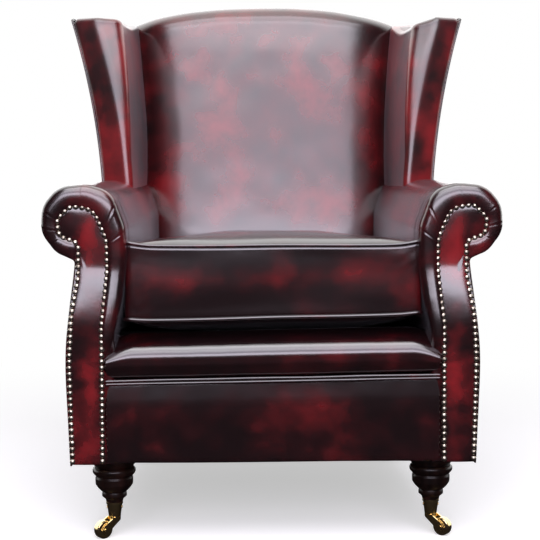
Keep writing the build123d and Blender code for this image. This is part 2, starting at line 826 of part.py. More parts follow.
outer_cushion = cushion_form(0)
inner_cushion = cushion_form(cover_thickness)


def welt_loop(height):
    """A cord round the cushion at one height above its underside."""
    path = cushion_plan(height).face().outer_wire()
    with BuildPart() as cord:
        with BuildSketch(Plane(origin=path @ 0, z_dir=path % 0)):
            Circle(cushion_welt_radius)
        sweep(path=path)
    return cord.part

# Cushion: cover, foam core, welts and zip
with BuildPart() as cushion_piping:
    add(welt_loop(cushion_belly))
    add(welt_loop(cushion_belly + cushion_border))
piping_part = keep(cushion_piping, "cushion_piping")
with BuildPart() as zip_strip:
    with BuildSketch(front_plane(cushion_length - cushion_draw_in)):
        with Locations((0, cushion_belly + cushion_border / 2)):
            Rectangle(zip_length, zip_width)
    extrude(amount=zip_depth)
with BuildPart() as zipper:
    with Locations(seat_plane.offset(fit_gap)):
        add(zip_strip.part)
zip_part = keep(zipper, "cushion_zip")
with BuildPart() as cover:
    add(outer_cushion)
    add(inner_cushion, mode=Mode.SUBTRACT)
    add(piping_part, mode=Mode.SUBTRACT)
    add(zip_part, mode=Mode.SUBTRACT)
keep(cover, "cushion_cover")
with BuildPart() as core:
    add(inner_cushion)
keep(core, "cushion_core")

# Front leg: turned, with a tapered spigot that fills the castor's cup
cup_bore_top = cup_top_radius - cup_wall
cup_bore_foot = cup_foot_radius - cup_wall
spigot_foot_z = cup_foot_z + cup_floor
leg_rise = base_z - leg_spigot_shoulder_z
turned_points = [(leg_radius * u, leg_spigot_shoulder_z + leg_rise * v) for u, v in leg_profile_shares]
with BuildPart() as turned_leg:
    with BuildSketch(front_plane(0)):
        with BuildLine():
            taper = Spline(*turned_points[:4])
            ThreePointArc(*turned_points[3:6])
            Polyline(*turned_points[5:9])
            Spline(*turned_points[8:11])
            ring = ThreePointArc(*turned_points[10:13])
            Polyline(
                ring @ 1, turned_points[13], turned_points[14], (cup_bore_top, leg_spigot_shoulder_z),
                (cup_bore_foot, spigot_foot_z), (0, spigot_foot_z), (0, base_z), taper @ 0,
            )
        make_face()
    revolve(axis=Axis.Z)
    with BuildSketch(Plane.XY.offset(spigot_foot_z)):
        Circle(pin_head_radius + fit_gap)
    extrude(amount=pin_head_height + fit_gap, mode=Mode.SUBTRACT)
castor_axis = Plane(origin=(front_leg_x, front_leg_y, 0))
with BuildPart() as front_leg:
    with Locations(castor_axis):
        add(turned_leg.part)
    add(bolts_part, mode=Mode.SUBTRACT)

# Castor cup: tapered brass ferrule with a rolled rim and a floor bored for the pin
with BuildPart() as cup_turning:
    with BuildSketch(front_plane(0)):
        with BuildLine():
            Polyline(
                (pin_radius + running_gap, cup_foot_z), (cup_foot_radius, cup_foot_z),
                (cup_top_radius, leg_spigot_shoulder_z - cup_rim_height),
                (cup_rim_radius, leg_spigot_shoulder_z - cup_rim_height),
                (cup_rim_radius, leg_spigot_shoulder_z), (cup_bore_top, leg_spigot_shoulder_z),
                (cup_bore_foot, spigot_foot_z), (pin_radius + running_gap, spigot_foot_z), close=True,
            )
        make_face()
    revolve(axis=Axis.Z)

# Screws that hold the cup to the leg, from both sides
screw_z = leg_spigot_shoulder_z - screw_drop
screw_seat = cup_top_radius - screw_seat_depth
with BuildPart() as screw_turning:
    for angle in (0, 180):
        out = Vector(screw_seat, 0, 0).rotate(Axis.Z, angle)
        facing_out = Plane(origin=out + Vector(0, 0, screw_z), z_dir=out)
        with BuildSketch(facing_out):
            Circle(screw_radius)
        extrude(amount=-screw_length)
        with BuildSketch(facing_out):
            Circle(screw_head_radius)
        extrude(amount=screw_radius)
with BuildPart() as screws:
    with Locations(castor_axis):
        add(screw_turning.part)
    mirror(about=Plane.YZ)
screws_part = keep(screws, "cup_screws")
with BuildPart() as cup:
    with Locations(castor_axis):
        add(cup_turning.part)
    add(screws_part, mode=Mode.SUBTRACT)
keep_pair(cup, "castor_cup")
with BuildPart() as screwed_leg:
    add(front_leg.part)
    add(screws_part, mode=Mode.SUBTRACT)
keep_pair(screwed_leg, "front_leg")

# Castor horn: fork with its swivel pin, drawn with the wheel trailing towards +X
cheek_y = wheel_width / 2 + wheel_side_gap
horn_top_z = cup_foot_z - fit_gap
boss_radius = cheek_y + cheek_thickness
boss_height = horn_top_z - 2 * wheel_radius + wheel_top_gap
cheek_plane = Plane.XZ.offset(cheek_y)
cheek_rear_x, cheek_front_x = boss_radius / 2, cheek_front_share * boss_radius
with BuildPart() as horn_form:
    with BuildSketch(Plane.XY.offset(horn_top_z - boss_height)):
        Circle(boss_radius)
    extrude(amount=boss_height)
    with BuildSketch(Plane.XY.offset(horn_top_z)):
        Circle(pin_radius)
    extrude(amount=spigot_foot_z + fit_gap - horn_top_z)
    with BuildSketch(Plane.XY.offset(spigot_foot_z + fit_gap / 2)):
        Circle(pin_head_radius)
    extrude(amount=pin_head_height - fit_gap)
    for start in (cheek_plane, cheek_plane.offset(-2 * cheek_y - cheek_thickness)):
        with BuildSketch(start):
            with BuildLine():
                Polyline(
                    (-cheek_rear_x, horn_top_z), (cheek_front_x, horn_top_z),
                    (castor_trail + axle_head_radius, wheel_radius + eye_radius),
                    (castor_trail + eye_radius, wheel_radius),
                    (castor_trail, wheel_radius - eye_radius),
                    (castor_trail - eye_radius, wheel_radius - axle_radius),
                    (-cheek_rear_x, horn_top_z - boss_height), close=True,
                )
            make_face()
        extrude(amount=cheek_thickness)
    with BuildSketch(Plane.XZ.offset(boss_radius + overrun)):
        with Locations((castor_trail, wheel_radius)):
            Circle(axle_radius)
    extrude(amount=-2 * (boss_radius + overrun), mode=Mode.SUBTRACT)

# Castor axle: riveted pin through both cheeks
with BuildPart() as axle_form:
    with BuildSketch(Plane.XZ.offset(boss_radius)):
        with Locations((castor_trail, wheel_radius)):
            Circle(axle_radius)
    extrude(amount=-2 * boss_radius)
    for end, way in ((boss_radius, 1), (-boss_radius, -1)):
        with BuildSketch(Plane.XZ.offset(end)):
            with Locations((castor_trail, wheel_radius)):
                Circle(axle_head_radius)
        extrude(amount=way * axle_head_height)

# Castor wheel: brass, running on the axle
with BuildPart() as wheel_form:
    with BuildSketch(Plane.XZ.offset(wheel_width / 2)):
        with Locations((castor_trail, wheel_radius)):
            Circle(wheel_radius)
    extrude(amount=-wheel_width)
    fillet(wheel_form.edges().filter_by(GeomType.CIRCLE), radius=wheel_edge_round)
    with BuildSketch(Plane.XZ.offset(wheel_width)):
        with Locations((castor_trail, wheel_radius)):
            Circle(axle_radius + running_gap)
    extrude(amount=-2 * wheel_width, mode=Mode.SUBTRACT)

swivelled = castor_axis.rotated((0, 0, -castor_angle))
for form, name in ((horn_form, "castor_horn"), (axle_form, "castor_axle"), (wheel_form, "castor_wheel")):
    with BuildPart() as placed:
        with Locations(swivelled):
            add(form.part)
    keep_pair(placed, name)

# Rear leg: square, tapered and raked back
with BuildPart() as rear_leg:
    with BuildSketch(Plane.XY.offset(base_z)):
        with Locations((rear_leg_x, rear_leg_y)):
            Rectangle(rear_leg_top, rear_leg_top)
    with BuildSketch(Plane.XY):
        with Locations((rear_leg_x, rear_leg_y + rear_leg_rake)):
            Rectangle(rear_leg_foot, rear_leg_foot)
    loft()
    add(bolts_part, mode=Mode.SUBTRACT)
keep_pair(rear_leg, "rear_leg")

# Dust cover: thin black cloth under the rails, cut round the legs
with BuildPart() as dust_cover:
    with BuildSketch(Plane.XY.offset(base_z - cloth)):
        with BuildLine():
            near_y, far_y = rail_front_y + cloth_edge, back_plane_y(base_z) - 2 * cloth_edge
            near_x = arm_cavity_x + side_rail_thickness - cloth_edge
            far_x = near_x - shear_x(far_y)
            Polyline((-near_x, near_y), (near_x, near_y), (far_x, far_y), (-far_x, far_y), close=True)
        make_face()
        with Locations((front_leg_x, front_leg_y), (-front_leg_x, front_leg_y)):
            Circle(leg_radius + fit_gap, mode=Mode.SUBTRACT)
        with Locations((rear_leg_x, rear_leg_y), (-rear_leg_x, rear_leg_y)):
            Rectangle(rear_leg_top + cloth, rear_leg_top + cloth, mode=Mode.SUBTRACT)
    extrude(amount=cloth)
keep(dust_cover, "dust_cover")
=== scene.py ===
import math

import bmesh
import bpy
import numpy as np
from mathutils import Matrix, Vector, noise


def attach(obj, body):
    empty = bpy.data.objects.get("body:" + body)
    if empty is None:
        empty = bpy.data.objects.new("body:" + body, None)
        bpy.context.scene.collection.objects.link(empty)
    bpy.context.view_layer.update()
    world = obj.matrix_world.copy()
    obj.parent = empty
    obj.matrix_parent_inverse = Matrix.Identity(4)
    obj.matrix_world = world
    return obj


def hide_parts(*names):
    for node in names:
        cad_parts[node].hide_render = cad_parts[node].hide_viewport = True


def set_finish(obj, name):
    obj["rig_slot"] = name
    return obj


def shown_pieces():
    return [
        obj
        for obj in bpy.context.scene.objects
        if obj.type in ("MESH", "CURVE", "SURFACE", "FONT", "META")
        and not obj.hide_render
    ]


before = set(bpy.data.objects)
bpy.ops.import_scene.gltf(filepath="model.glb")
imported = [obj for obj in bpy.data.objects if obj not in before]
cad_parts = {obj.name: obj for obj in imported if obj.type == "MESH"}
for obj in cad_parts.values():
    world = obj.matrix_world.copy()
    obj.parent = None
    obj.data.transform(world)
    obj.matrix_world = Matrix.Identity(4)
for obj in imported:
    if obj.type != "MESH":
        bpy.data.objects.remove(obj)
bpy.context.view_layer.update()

# Sizes in metres, in the frame's own axes: the front faces -Y and right is +X.
ARM_INNER, ARM_OUTER = 0.249, 0.402
BASE, ARM_TOP = 0.143, 0.631
ARM_WIDTH, ARM_RISE = ARM_OUTER - ARM_INNER, ARM_TOP - BASE
TOE_IN = 0.045
HEAD_FRONT, LOW_FRONT = -0.3930, -0.4122
SLOPE_TOP, SLOPE_LOW = 0.488, 0.392
BACK_FOOT, BACK_LEAN = 0.316, 0.095
PANEL = 0.004
NAIL_RADIUS, NAIL_HEIGHT, NAIL_PITCH = 0.0049, 0.0036, 0.0109

ARM_SHARES = [
    (0.678, 0.000), (0.724, 0.392), (0.612, 0.730), (0.824, 0.757), (0.995, 0.830),
    (0.984, 0.925), (0.800, 0.994), (0.470, 1.003), (0.185, 0.975), (0.040, 0.850),
    (0.028, 0.740), (0.085, 0.588), (0.165, 0.470), (0.190, 0.000),
]
ARM_RADII = [3.9, 0.046, 0.26, 0.29, 0.29, 0.32, 0.42, 0.30, 0.40, 0.65, 0.98, 0.50]
FACING_SHARES = [
    (0.652, 0.006), (0.678, 0.373), (0.646, 0.537), (0.572, 0.670), (0.572, 0.793),
    (0.784, 0.816), (0.807, 0.875), (0.654, 0.924), (0.392, 0.912), (0.248, 0.803),
    (0.248, 0.691), (0.310, 0.496), (0.316, 0.006),
]
FACING_RADII = [3.27, 0.98, 0.33, 0.085, 0.085, 0.098, 0.105, 0.196, 0.33, 0.39, 0.98]
# Corners of the facing that answer to the corners of the arm's outline, as counts along the facing
FACING_MATCH = [0, 1, 3.55, 4.6, 5.2, 6.15, 6.8, 7.55, 8.6, 9.05, 9.7, 10.5, 11.1, 12]


def smooth(t):
    """Smooth step from 0 to 1."""
    t = np.clip(t, 0.0, 1.0)
    return t * t * (3 - 2 * t)


def noise_on(points, scale, seed):
    """Steady noise between about -1 and 1 at each point of a grid."""
    flat = points.reshape(-1, 3) * scale + seed
    return np.array([noise.noise(Vector(p)) for p in flat]).reshape(points.shape[:-1])


def fillet(corners, radii, steps=10):
    """Line through corners in a plane, with each inner corner rounded."""
    corners = [np.array(corner, float) for corner in corners]
    line = [corners[0]]
    for before, corner, after, reach in zip(corners, corners[1:], corners[2:], radii):
        a = (before - corner) / np.linalg.norm(before - corner)
        b = (after - corner) / np.linalg.norm(after - corner)
        half = math.acos(max(-1.0, min(1.0, float(a @ b)))) / 2
        start, end = corner + a * reach / math.tan(half), corner + b * reach / math.tan(half)
        bisector = (a + b) / np.linalg.norm(a + b)
        centre = corner + bisector * reach / math.sin(half)
        first = math.atan2(*(start - centre)[::-1])
        sweep = (math.atan2(*(end - centre)[::-1]) - first + math.pi) % (2 * math.pi) - math.pi
        for k in range(steps + 1):
            angle = first + sweep * k / steps
            line.append(centre + reach * np.array((math.cos(angle), math.sin(angle))))
    line.append(corners[-1])
    return np.array(line)


def unit(vectors):
    """The same directions with a length of one."""
    return vectors / np.linalg.norm(vectors, axis=-1, keepdims=True)


def lengths_along(line):
    """Distance along a line at each of its points."""
    return np.concatenate([[0], np.cumsum(np.linalg.norm(np.diff(line, axis=0), axis=1))])


def at_lengths(line, places):
    """Points at given distances along a line."""
    along = lengths_along(line)
    return np.stack([np.interp(places, along, line[:, k]) for k in range(line.shape[1])], axis=1)


def resample(line, count):
    """The same line as evenly spaced points."""
    return at_lengths(line, np.linspace(0, lengths_along(line)[-1], count))


def arm_point(share):
    """A share of the arm's box as a point in X and Z."""
    return np.array((ARM_INNER + share[0] * ARM_WIDTH, BASE + share[1] * ARM_RISE))


def corner_lengths(line, shares):
    """How far along an outline each of its corners lies."""
    along = lengths_along(line)
    return [along[np.argmin(np.linalg.norm(line - arm_point(s), axis=1))] for s in shares]


arm_line = fillet([arm_point(s) for s in ARM_SHARES], [r * ARM_WIDTH for r in ARM_RADII])
nail_line = fillet([arm_point(s) for s in FACING_SHARES], [r * ARM_WIDTH for r in FACING_RADII])
arm_keys = corner_lengths(arm_line, ARM_SHARES)
nail_keys = corner_lengths(nail_line, FACING_SHARES)


def back_y(z, inset=0.0):
    """Depth of the outside back at the height z."""
    return BACK_FOOT - inset + BACK_LEAN * (z - BASE)


def front_y(z):
    """Depth of the arm's front: the scroll stands back and the part below sweeps forward."""
    t = (SLOPE_TOP - z) / (SLOPE_TOP - SLOPE_LOW)
    soft = 0.10
    ramp = (np.sqrt(t * t + soft * soft) - np.sqrt((t - 1) ** 2 + 4 * soft * soft) + 1) / 2
    return HEAD_FRONT + (LOW_FRONT - HEAD_FRONT) * np.clip(ramp, 0.0, 1.0)


def drawn_in(grid):
    """Move a grid of arm points in by the arm's toe-in at their depth."""
    grid[..., 0] -= TOE_IN * (grid[..., 1] - HEAD_FRONT)
    return grid


def normals_of(grid):
    """Unit normals of a grid, on the side that its faces look to."""
    normal = np.cross(np.gradient(grid, axis=1), np.gradient(grid, axis=0))
    return normal / np.maximum(np.linalg.norm(normal, axis=2, keepdims=True), 1e-12)


def grid_faces(rows, columns, wrap=False):
    """Quads between rows of points; wrap joins each row's end to its start."""
    faces = []
    for i in range(rows - 1):
        for j in range(columns - (0 if wrap else 1)):
            k = (j + 1) % columns
            a, b = i * columns, (i + 1) * columns
            faces.append((a + j, a + k, b + k, b + j))
    return faces


def closed_grid(grid, wrap=False):
    """Points and faces of a grid closed by caps over its open edges."""
    rows, columns = grid.shape[:2]
    faces = grid_faces(rows, columns, wrap)
    first, last = list(range(columns)), [(rows - 1) * columns + j for j in range(columns)]
    faces += [tuple(reversed(first)), tuple(last)]
    if not wrap:
        faces.append(tuple(i * columns for i in range(rows)))
        faces.append(tuple(i * columns + columns - 1 for i in reversed(range(rows))))
    return grid.reshape(-1, 3), faces


def two_layers(front, back):
    """Points and faces of a sheet: a grid, the layer behind it and the rim between them."""
    rows, columns = front.shape[:2]
    count = rows * columns
    faces = grid_faces(rows, columns)
    faces += [tuple(reversed([v + count for v in face])) for face in grid_faces(rows, columns)]
    rim = list(range(columns)) + [i * columns + columns - 1 for i in range(1, rows)]
    rim += [(rows - 1) * columns + j for j in reversed(range(columns - 1))]
    rim += [i * columns for i in reversed(range(1, rows - 1))]
    for a, b in zip(rim, rim[1:] + rim[:1]):
        faces.append((b, a, a + count, b + count))
    return np.concatenate([front.reshape(-1, 3), back.reshape(-1, 3)]), faces


def shell(grid, thickness):
    """A sheet of one thickness behind a grid."""
    return two_layers(grid, grid - normals_of(grid) * thickness)


def tube(path, radius, sides=10, closed=False):
    """Points and faces of a cord along a path."""
    path = np.array(path, float)
    count = len(path)
    if closed:
        tangent = np.roll(path, -1, axis=0) - np.roll(path, 1, axis=0)
    else:
        tangent = np.gradient(path, axis=0)
    tangent = unit(tangent)
    side = np.cross(tangent[0], (0.31, 0.77, 0.55))
    rings = []
    for k in range(count):
        side = side - tangent[k] * (side @ tangent[k])
        side /= np.linalg.norm(side)
        other = np.cross(tangent[k], side)
        angles = np.linspace(0, 2 * math.pi, sides, endpoint=False)
        rings.append(path[k] + radius * (np.outer(np.cos(angles), side) + np.outer(np.sin(angles), other)))
    verts = np.concatenate(rings)
    faces = grid_faces(count, sides, wrap=True)
    if closed:
        last = (count - 1) * sides
        offset = int(np.argmin(np.linalg.norm(rings[0] - rings[-1][0], axis=1)))
        for j in range(sides):
            k = (j + 1) % sides
            faces.append((last + j, last + k, (k + offset) % sides, (j + offset) % sides))
    else:
        faces.append(tuple(reversed(range(sides))))
        faces.append(tuple((count - 1) * sides + j for j in range(sides)))
    return verts, faces


def joined(*parts):
    """Several sets of points and faces as one."""
    verts, faces, start = [], [], 0
    for points, polygons in parts:
        verts.append(points)
        faces += [tuple(v + start for v in polygon) for polygon in polygons]
        start += len(points)
    return np.concatenate(verts), faces


def new_object(name, data):
    """An object for some data, put into the scene."""
    made = bpy.data.objects.new(name, data)
    bpy.context.scene.collection.objects.link(made)
    return made


def make_piece(name, form, material, body="chair", slot="leather_oxblood", nodes=(), mirror=False):
    """Make a mesh piece that rides on a body and stands for CAD nodes."""
    points, faces = form
    points = np.array(points, float)
    if mirror:
        points = points * (-1, 1, 1)
    mesh = bpy.data.meshes.new(name)
    mesh.from_pydata(points.tolist(), [], [list(face) for face in faces])
    solid = bmesh.new()
    solid.from_mesh(mesh)
    bmesh.ops.recalc_face_normals(solid, faces=solid.faces[:])
    solid.to_mesh(mesh)
    solid.free()
    mesh.shade_smooth()
    mesh.materials.append(material)
    piece = new_object(name, mesh)
    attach(piece, body)
    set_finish(piece, slot)
    if nodes:
        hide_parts(*nodes)
    return piece


# Materials. Every one is made of nodes that follow the object itself.
def node_tools(tree):
    """Two helpers for a tree: one fills a node's inputs, the other adds a node and fills them.

    An input is given by its place or its name, as a value, an output or the node whose first output feeds it.
    """
    def feed(socket, value):
        if isinstance(value, bpy.types.Node):
            value = value.outputs[0]
        if isinstance(value, bpy.types.NodeSocket):
            tree.links.new(value, socket)
        elif value is not None:
            socket.default_value = value

    def fill(node, *values, **settings):
        names = {key: key.replace("_", " ") for key in settings}
        for key, name in names.items():
            if name not in node.inputs:
                setattr(node, key, settings[key])
        for socket, value in zip(node.inputs, values):
            feed(socket, value)
        for key, name in names.items():
            if name in node.inputs:
                feed(node.inputs[name], settings[key])
        return node

    def add(kind, *values, **settings):
        return fill(tree.nodes.new("ShaderNode" + kind), *values, **settings)

    return add, fill


def new_material(name):
    """A fresh node material: its shader, the place that textures follow and the helpers for its nodes."""
    material = bpy.data.materials.new(name)
    material.use_nodes = True
    add, fill = node_tools(material.node_tree)
    place = add("TexCoord").outputs["Object"]
    return material, material.node_tree.nodes["Principled BSDF"], place, add, fill


def ramp_of(add, source, stops):
    """A colour ramp from pairs of place and colour."""
    ramp = add("ValToRGB", Fac=source)
    band = ramp.color_ramp
    while len(band.elements) < len(stops):
        band.elements.new(0.5)
    for element, (place, colour) in zip(band.elements, stops):
        element.position = place
        element.color = (*colour, 1.0)
    return ramp


def leather_material(name, redness, patch, haze):
    """Rub-off leather: red showing in patches through a near-black burgundy top coat."""
    material, shader, place, add, fill = new_material(name)
    rubbed = add("Attribute", attribute_name="rubbed").outputs["Fac"]
    cloud = add("TexNoise", Vector=place, Scale=patch, Detail=4.0, Roughness=0.56, Distortion=0.2)
    smear = add("TexNoise", Vector=place, Scale=patch * 4.0, Detail=3.0, Roughness=0.55)
    mottle = add("Math", smear, 0.7, redness - 1.35, operation="MULTIPLY_ADD")
    mixed = add("Math", cloud, 2.0, mottle, operation="MULTIPLY_ADD")
    worn = add("Math", rubbed, 0.50, mixed, operation="MULTIPLY_ADD")
    soft = add("MapRange", Value=worn, From_Min=-0.10, From_Max=1.35, interpolation_type="SMOOTHSTEP")
    coat = ramp_of(add, soft, [
        (0.02, (0.0080, 0.0021, 0.0027)),
        (0.20, (0.0200, 0.0023, 0.0032)),
        (0.47, (0.0680, 0.0030, 0.0046)),
        (0.84, (0.1900, 0.0056, 0.0086)),
        (1.00, (0.2300, 0.0075, 0.0110)),
    ])
    grain = add("TexVoronoi", Vector=place, Scale=620.0, feature="DISTANCE_TO_EDGE")
    pores = add("TexNoise", Vector=place, Scale=900.0, Detail=2.0)
    waves = add("TexNoise", Vector=place, Scale=24.0, Detail=3.0, Roughness=0.55)
    swell = add("Bump", Height=waves, Strength=0.07, Distance=0.004)
    fine = add("Bump", Height=grain, Normal=swell, Strength=0.14, Distance=0.0006)
    speck = add("Bump", Height=pores, Normal=fine, Strength=0.06, Distance=0.0004)
    gloss = add("MapRange", Value=smear, To_Min=0.36, To_Max=0.50)
    fill(
        shader, Base_Color=coat, Normal=speck, Coat_Normal=swell, Roughness=gloss, Specular_IOR_Level=0.03,
        Coat_Weight=1.0, Coat_Roughness=haze, Coat_IOR=1.95,
        Sheen_Weight=0.10, Sheen_Roughness=0.25, Sheen_Tint=(0.90, 0.88, 1.0, 1.0),
    )
    return material


def metal_material(name, colour, dark, roughness, scale, wear=0.5):
    """Metal with dulled patches and fine scratches."""
    material, shader, place, add, fill = new_material(name)
    tarnish = add("TexNoise", Vector=place, Scale=scale, Detail=6.0, Roughness=0.7)
    scratch = add("TexNoise", Vector=place, Scale=scale * 9, Detail=3.0)
    fill(
        shader, Metallic=1.0,
        Base_Color=ramp_of(add, tarnish, [(wear - 0.16, dark), (wear + 0.10, colour)]),
        Normal=add("Bump", Height=scratch, Strength=0.12, Distance=0.0004),
        Roughness=add("MapRange", Value=tarnish, To_Min=roughness * 1.7, To_Max=roughness * 0.6),
    )
    return material


def wood_material(name, colours, roughness, grain_axis, scale, coat=0.0):
    """Wood with grain drawn out along one axis."""
    material, shader, place, add, fill = new_material(name)
    drawn_out = [0.08 if axis == grain_axis else 1.0 for axis in range(3)]
    stretch = add("Mapping", Vector=place, Scale=drawn_out)
    rings = add("TexNoise", Vector=stretch, Scale=scale, Detail=7.0, Roughness=0.6, Distortion=1.2)
    pores = add("TexNoise", Vector=stretch, Scale=scale * 7, Detail=4.0, Roughness=0.7)
    fill(
        shader, Roughness=roughness, Specular_IOR_Level=0.30, Coat_Weight=coat, Coat_Roughness=0.12,
        Base_Color=ramp_of(add, rings, list(zip((0.32, 0.50, 0.68), colours))),
        Normal=add("Bump", Height=pores, Strength=0.15, Distance=0.0008),
    )
    return material


def cloth_material(name, light, dark, threads, sheen=0.2):
    """Plain woven cloth with threads both ways."""
    material, shader, place, add, fill = new_material(name)
    weave = [
        add("TexWave", Vector=place, Scale=threads, Distortion=0.6, bands_direction=axis).outputs["Fac"]
        for axis in "XY"
    ]
    cross = add("Math", *weave, operation="MAXIMUM")
    blotch = add("TexNoise", Vector=place, Scale=14.0, Detail=4.0)
    shade = add("Math", cross, blotch, operation="MULTIPLY")
    fill(
        shader, Roughness=0.9, Sheen_Weight=sheen, Specular_IOR_Level=sheen,
        Base_Color=ramp_of(add, shade, [(0.12, dark), (0.62, light)]),
        Normal=add("Bump", Height=cross, Strength=0.5, Distance=0.0006),
    )
    return material


# Redness, how closely the patches lie and the haze of the coat
LEATHERS = {
    "back": (0.40, 5.5, 0.23), "wing": (0.46, 7.0, 0.31), "arm": (0.24, 8.0, 0.21),
    "facing": (0.34, 9.0, 0.175), "front": (0.10, 5.5, 0.175), "cushion": (0.06, 5.5, 0.175),
    "welt": (0.10, 9.0, 0.175), "outside": (0.40, 5.5, 0.175),
}
leather = {part: leather_material("leather_" + part, *values) for part, values in LEATHERS.items()}
polished_brass = metal_material(
    "polished_brass", (0.92, 0.72, 0.36), (0.72, 0.50, 0.20), 0.17, 30.0, wear=0.42
)
antique_brass = metal_material(
    "antique_brass", (0.66, 0.60, 0.50), (0.10, 0.075, 0.05), 0.26, 160.0, wear=0.47
)
drawn_steel = metal_material("drawn_steel", (0.55, 0.55, 0.57), (0.25, 0.25, 0.26), 0.35, 60.0)
mahogany = wood_material(
    "mahogany", [(0.003, 0.001, 0.001), (0.009, 0.003, 0.002), (0.020, 0.005, 0.003)],
    0.34, 2, 38.0, coat=0.15,
)
beech = wood_material(
    "beech", [(0.42, 0.27, 0.15), (0.58, 0.40, 0.24), (0.68, 0.50, 0.32)], 0.65, 0, 26.0
)
# Near-black cloth: the dust cover's own black, and on the seat deck it is darkened further as painted shade
# for the shadow under the cushion.
lining_and_painted_shade = cloth_material("black_lining", (0.0075, 0.0070, 0.0070), (0.002, 0.002, 0.002), 320.0, sheen=0.0)
webbing = cloth_material("jute_webbing", (0.50, 0.38, 0.22), (0.22, 0.15, 0.08), 260.0)
zip_tape = cloth_material("zip_tape", (0.05, 0.012, 0.014), (0.015, 0.004, 0.005), 520.0)
foam = cloth_material("foam_wrap", (0.86, 0.84, 0.78), (0.66, 0.62, 0.52), 700.0)


def dress(material, *names):
    """Give kept CAD nodes their finish."""
    for name in names:
        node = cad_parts[name]
        node.data.materials.clear()
        node.data.materials.append(material)


def pair(*names):
    """Both sides' nodes of each name."""
    return [name + side for name in names for side in ("_left", "_right")]


dress(beech, *pair("arm_board", "arm_rail", "back_post", "front_post", "side_seat_rail", "wing_board"))
dress(beech, "corner_blocks", "front_seat_rail", "lower_back_rail", "rear_seat_rail", "top_back_rail")
dress(mahogany, *pair("front_leg", "rear_leg"))
dress(polished_brass, *pair("castor_axle", "castor_cup", "castor_horn", "castor_wheel"), "cup_screws")
dress(drawn_steel, "seat_springs", "spring_clips", "leg_bolts")
dress(webbing, "back_webbing")
dress(lining_and_painted_shade, "dust_cover")
dress(zip_tape, "cushion_zip")
dress(foam, "cushion_core")


SIDES = (("right", False), ("left", True))


# Arms: a padded scroll, the outside panel, the nailed facing and its nails
ARM_STEPS = 360
HEAD_DENSITY = ([0, 0.12, 0.86, 1], [0, 0.26, 0.76, 1])
NECK_CORNER = 2
NECK_Z, NECK_REACH, NECK_FORWARD = 0.455, 0.050, 0.0021
TUCK_DEPTH, REAR_ROUND = 0.0090, 0.010
SCROLL_MIDDLE = np.array((0.333, 0.50))
ARM_SHEET, FACING_SHEET = 0.0026, 0.0035
arm_places = np.interp(np.linspace(0, 1, ARM_STEPS), *HEAD_DENSITY) * lengths_along(arm_line)[-1]
key_on_nails = np.interp(FACING_MATCH, range(len(nail_keys)), nail_keys)
arm_edge = at_lengths(arm_line, arm_places)
arm_groove = at_lengths(nail_line, np.interp(arm_places, arm_keys, key_on_nails))
arm_corner = np.interp(arm_places, arm_keys, range(len(arm_keys)))

# Pleats in the leather round each scroll: corner count along the outline, depth, half width, reach back
PLEATS = {
    "right": [(3.50, 0.0008, 0.0016, 0.004), (4.30, 0.0011, 0.0018, 0.006), (5.10, 0.0009, 0.0017, 0.005),
              (6.90, 0.0007, 0.0017, 0.006), (8.35, 0.0012, 0.0022, 0.020), (9.10, 0.0009, 0.0018, 0.008)],
    "left": [(3.42, 0.0008, 0.0016, 0.004), (4.15, 0.0011, 0.0018, 0.006), (4.85, 0.0009, 0.0018, 0.006),
             (6.80, 0.0008, 0.0018, 0.007), (8.30, 0.0013, 0.0024, 0.022), (9.15, 0.0009, 0.0018, 0.008)],
}


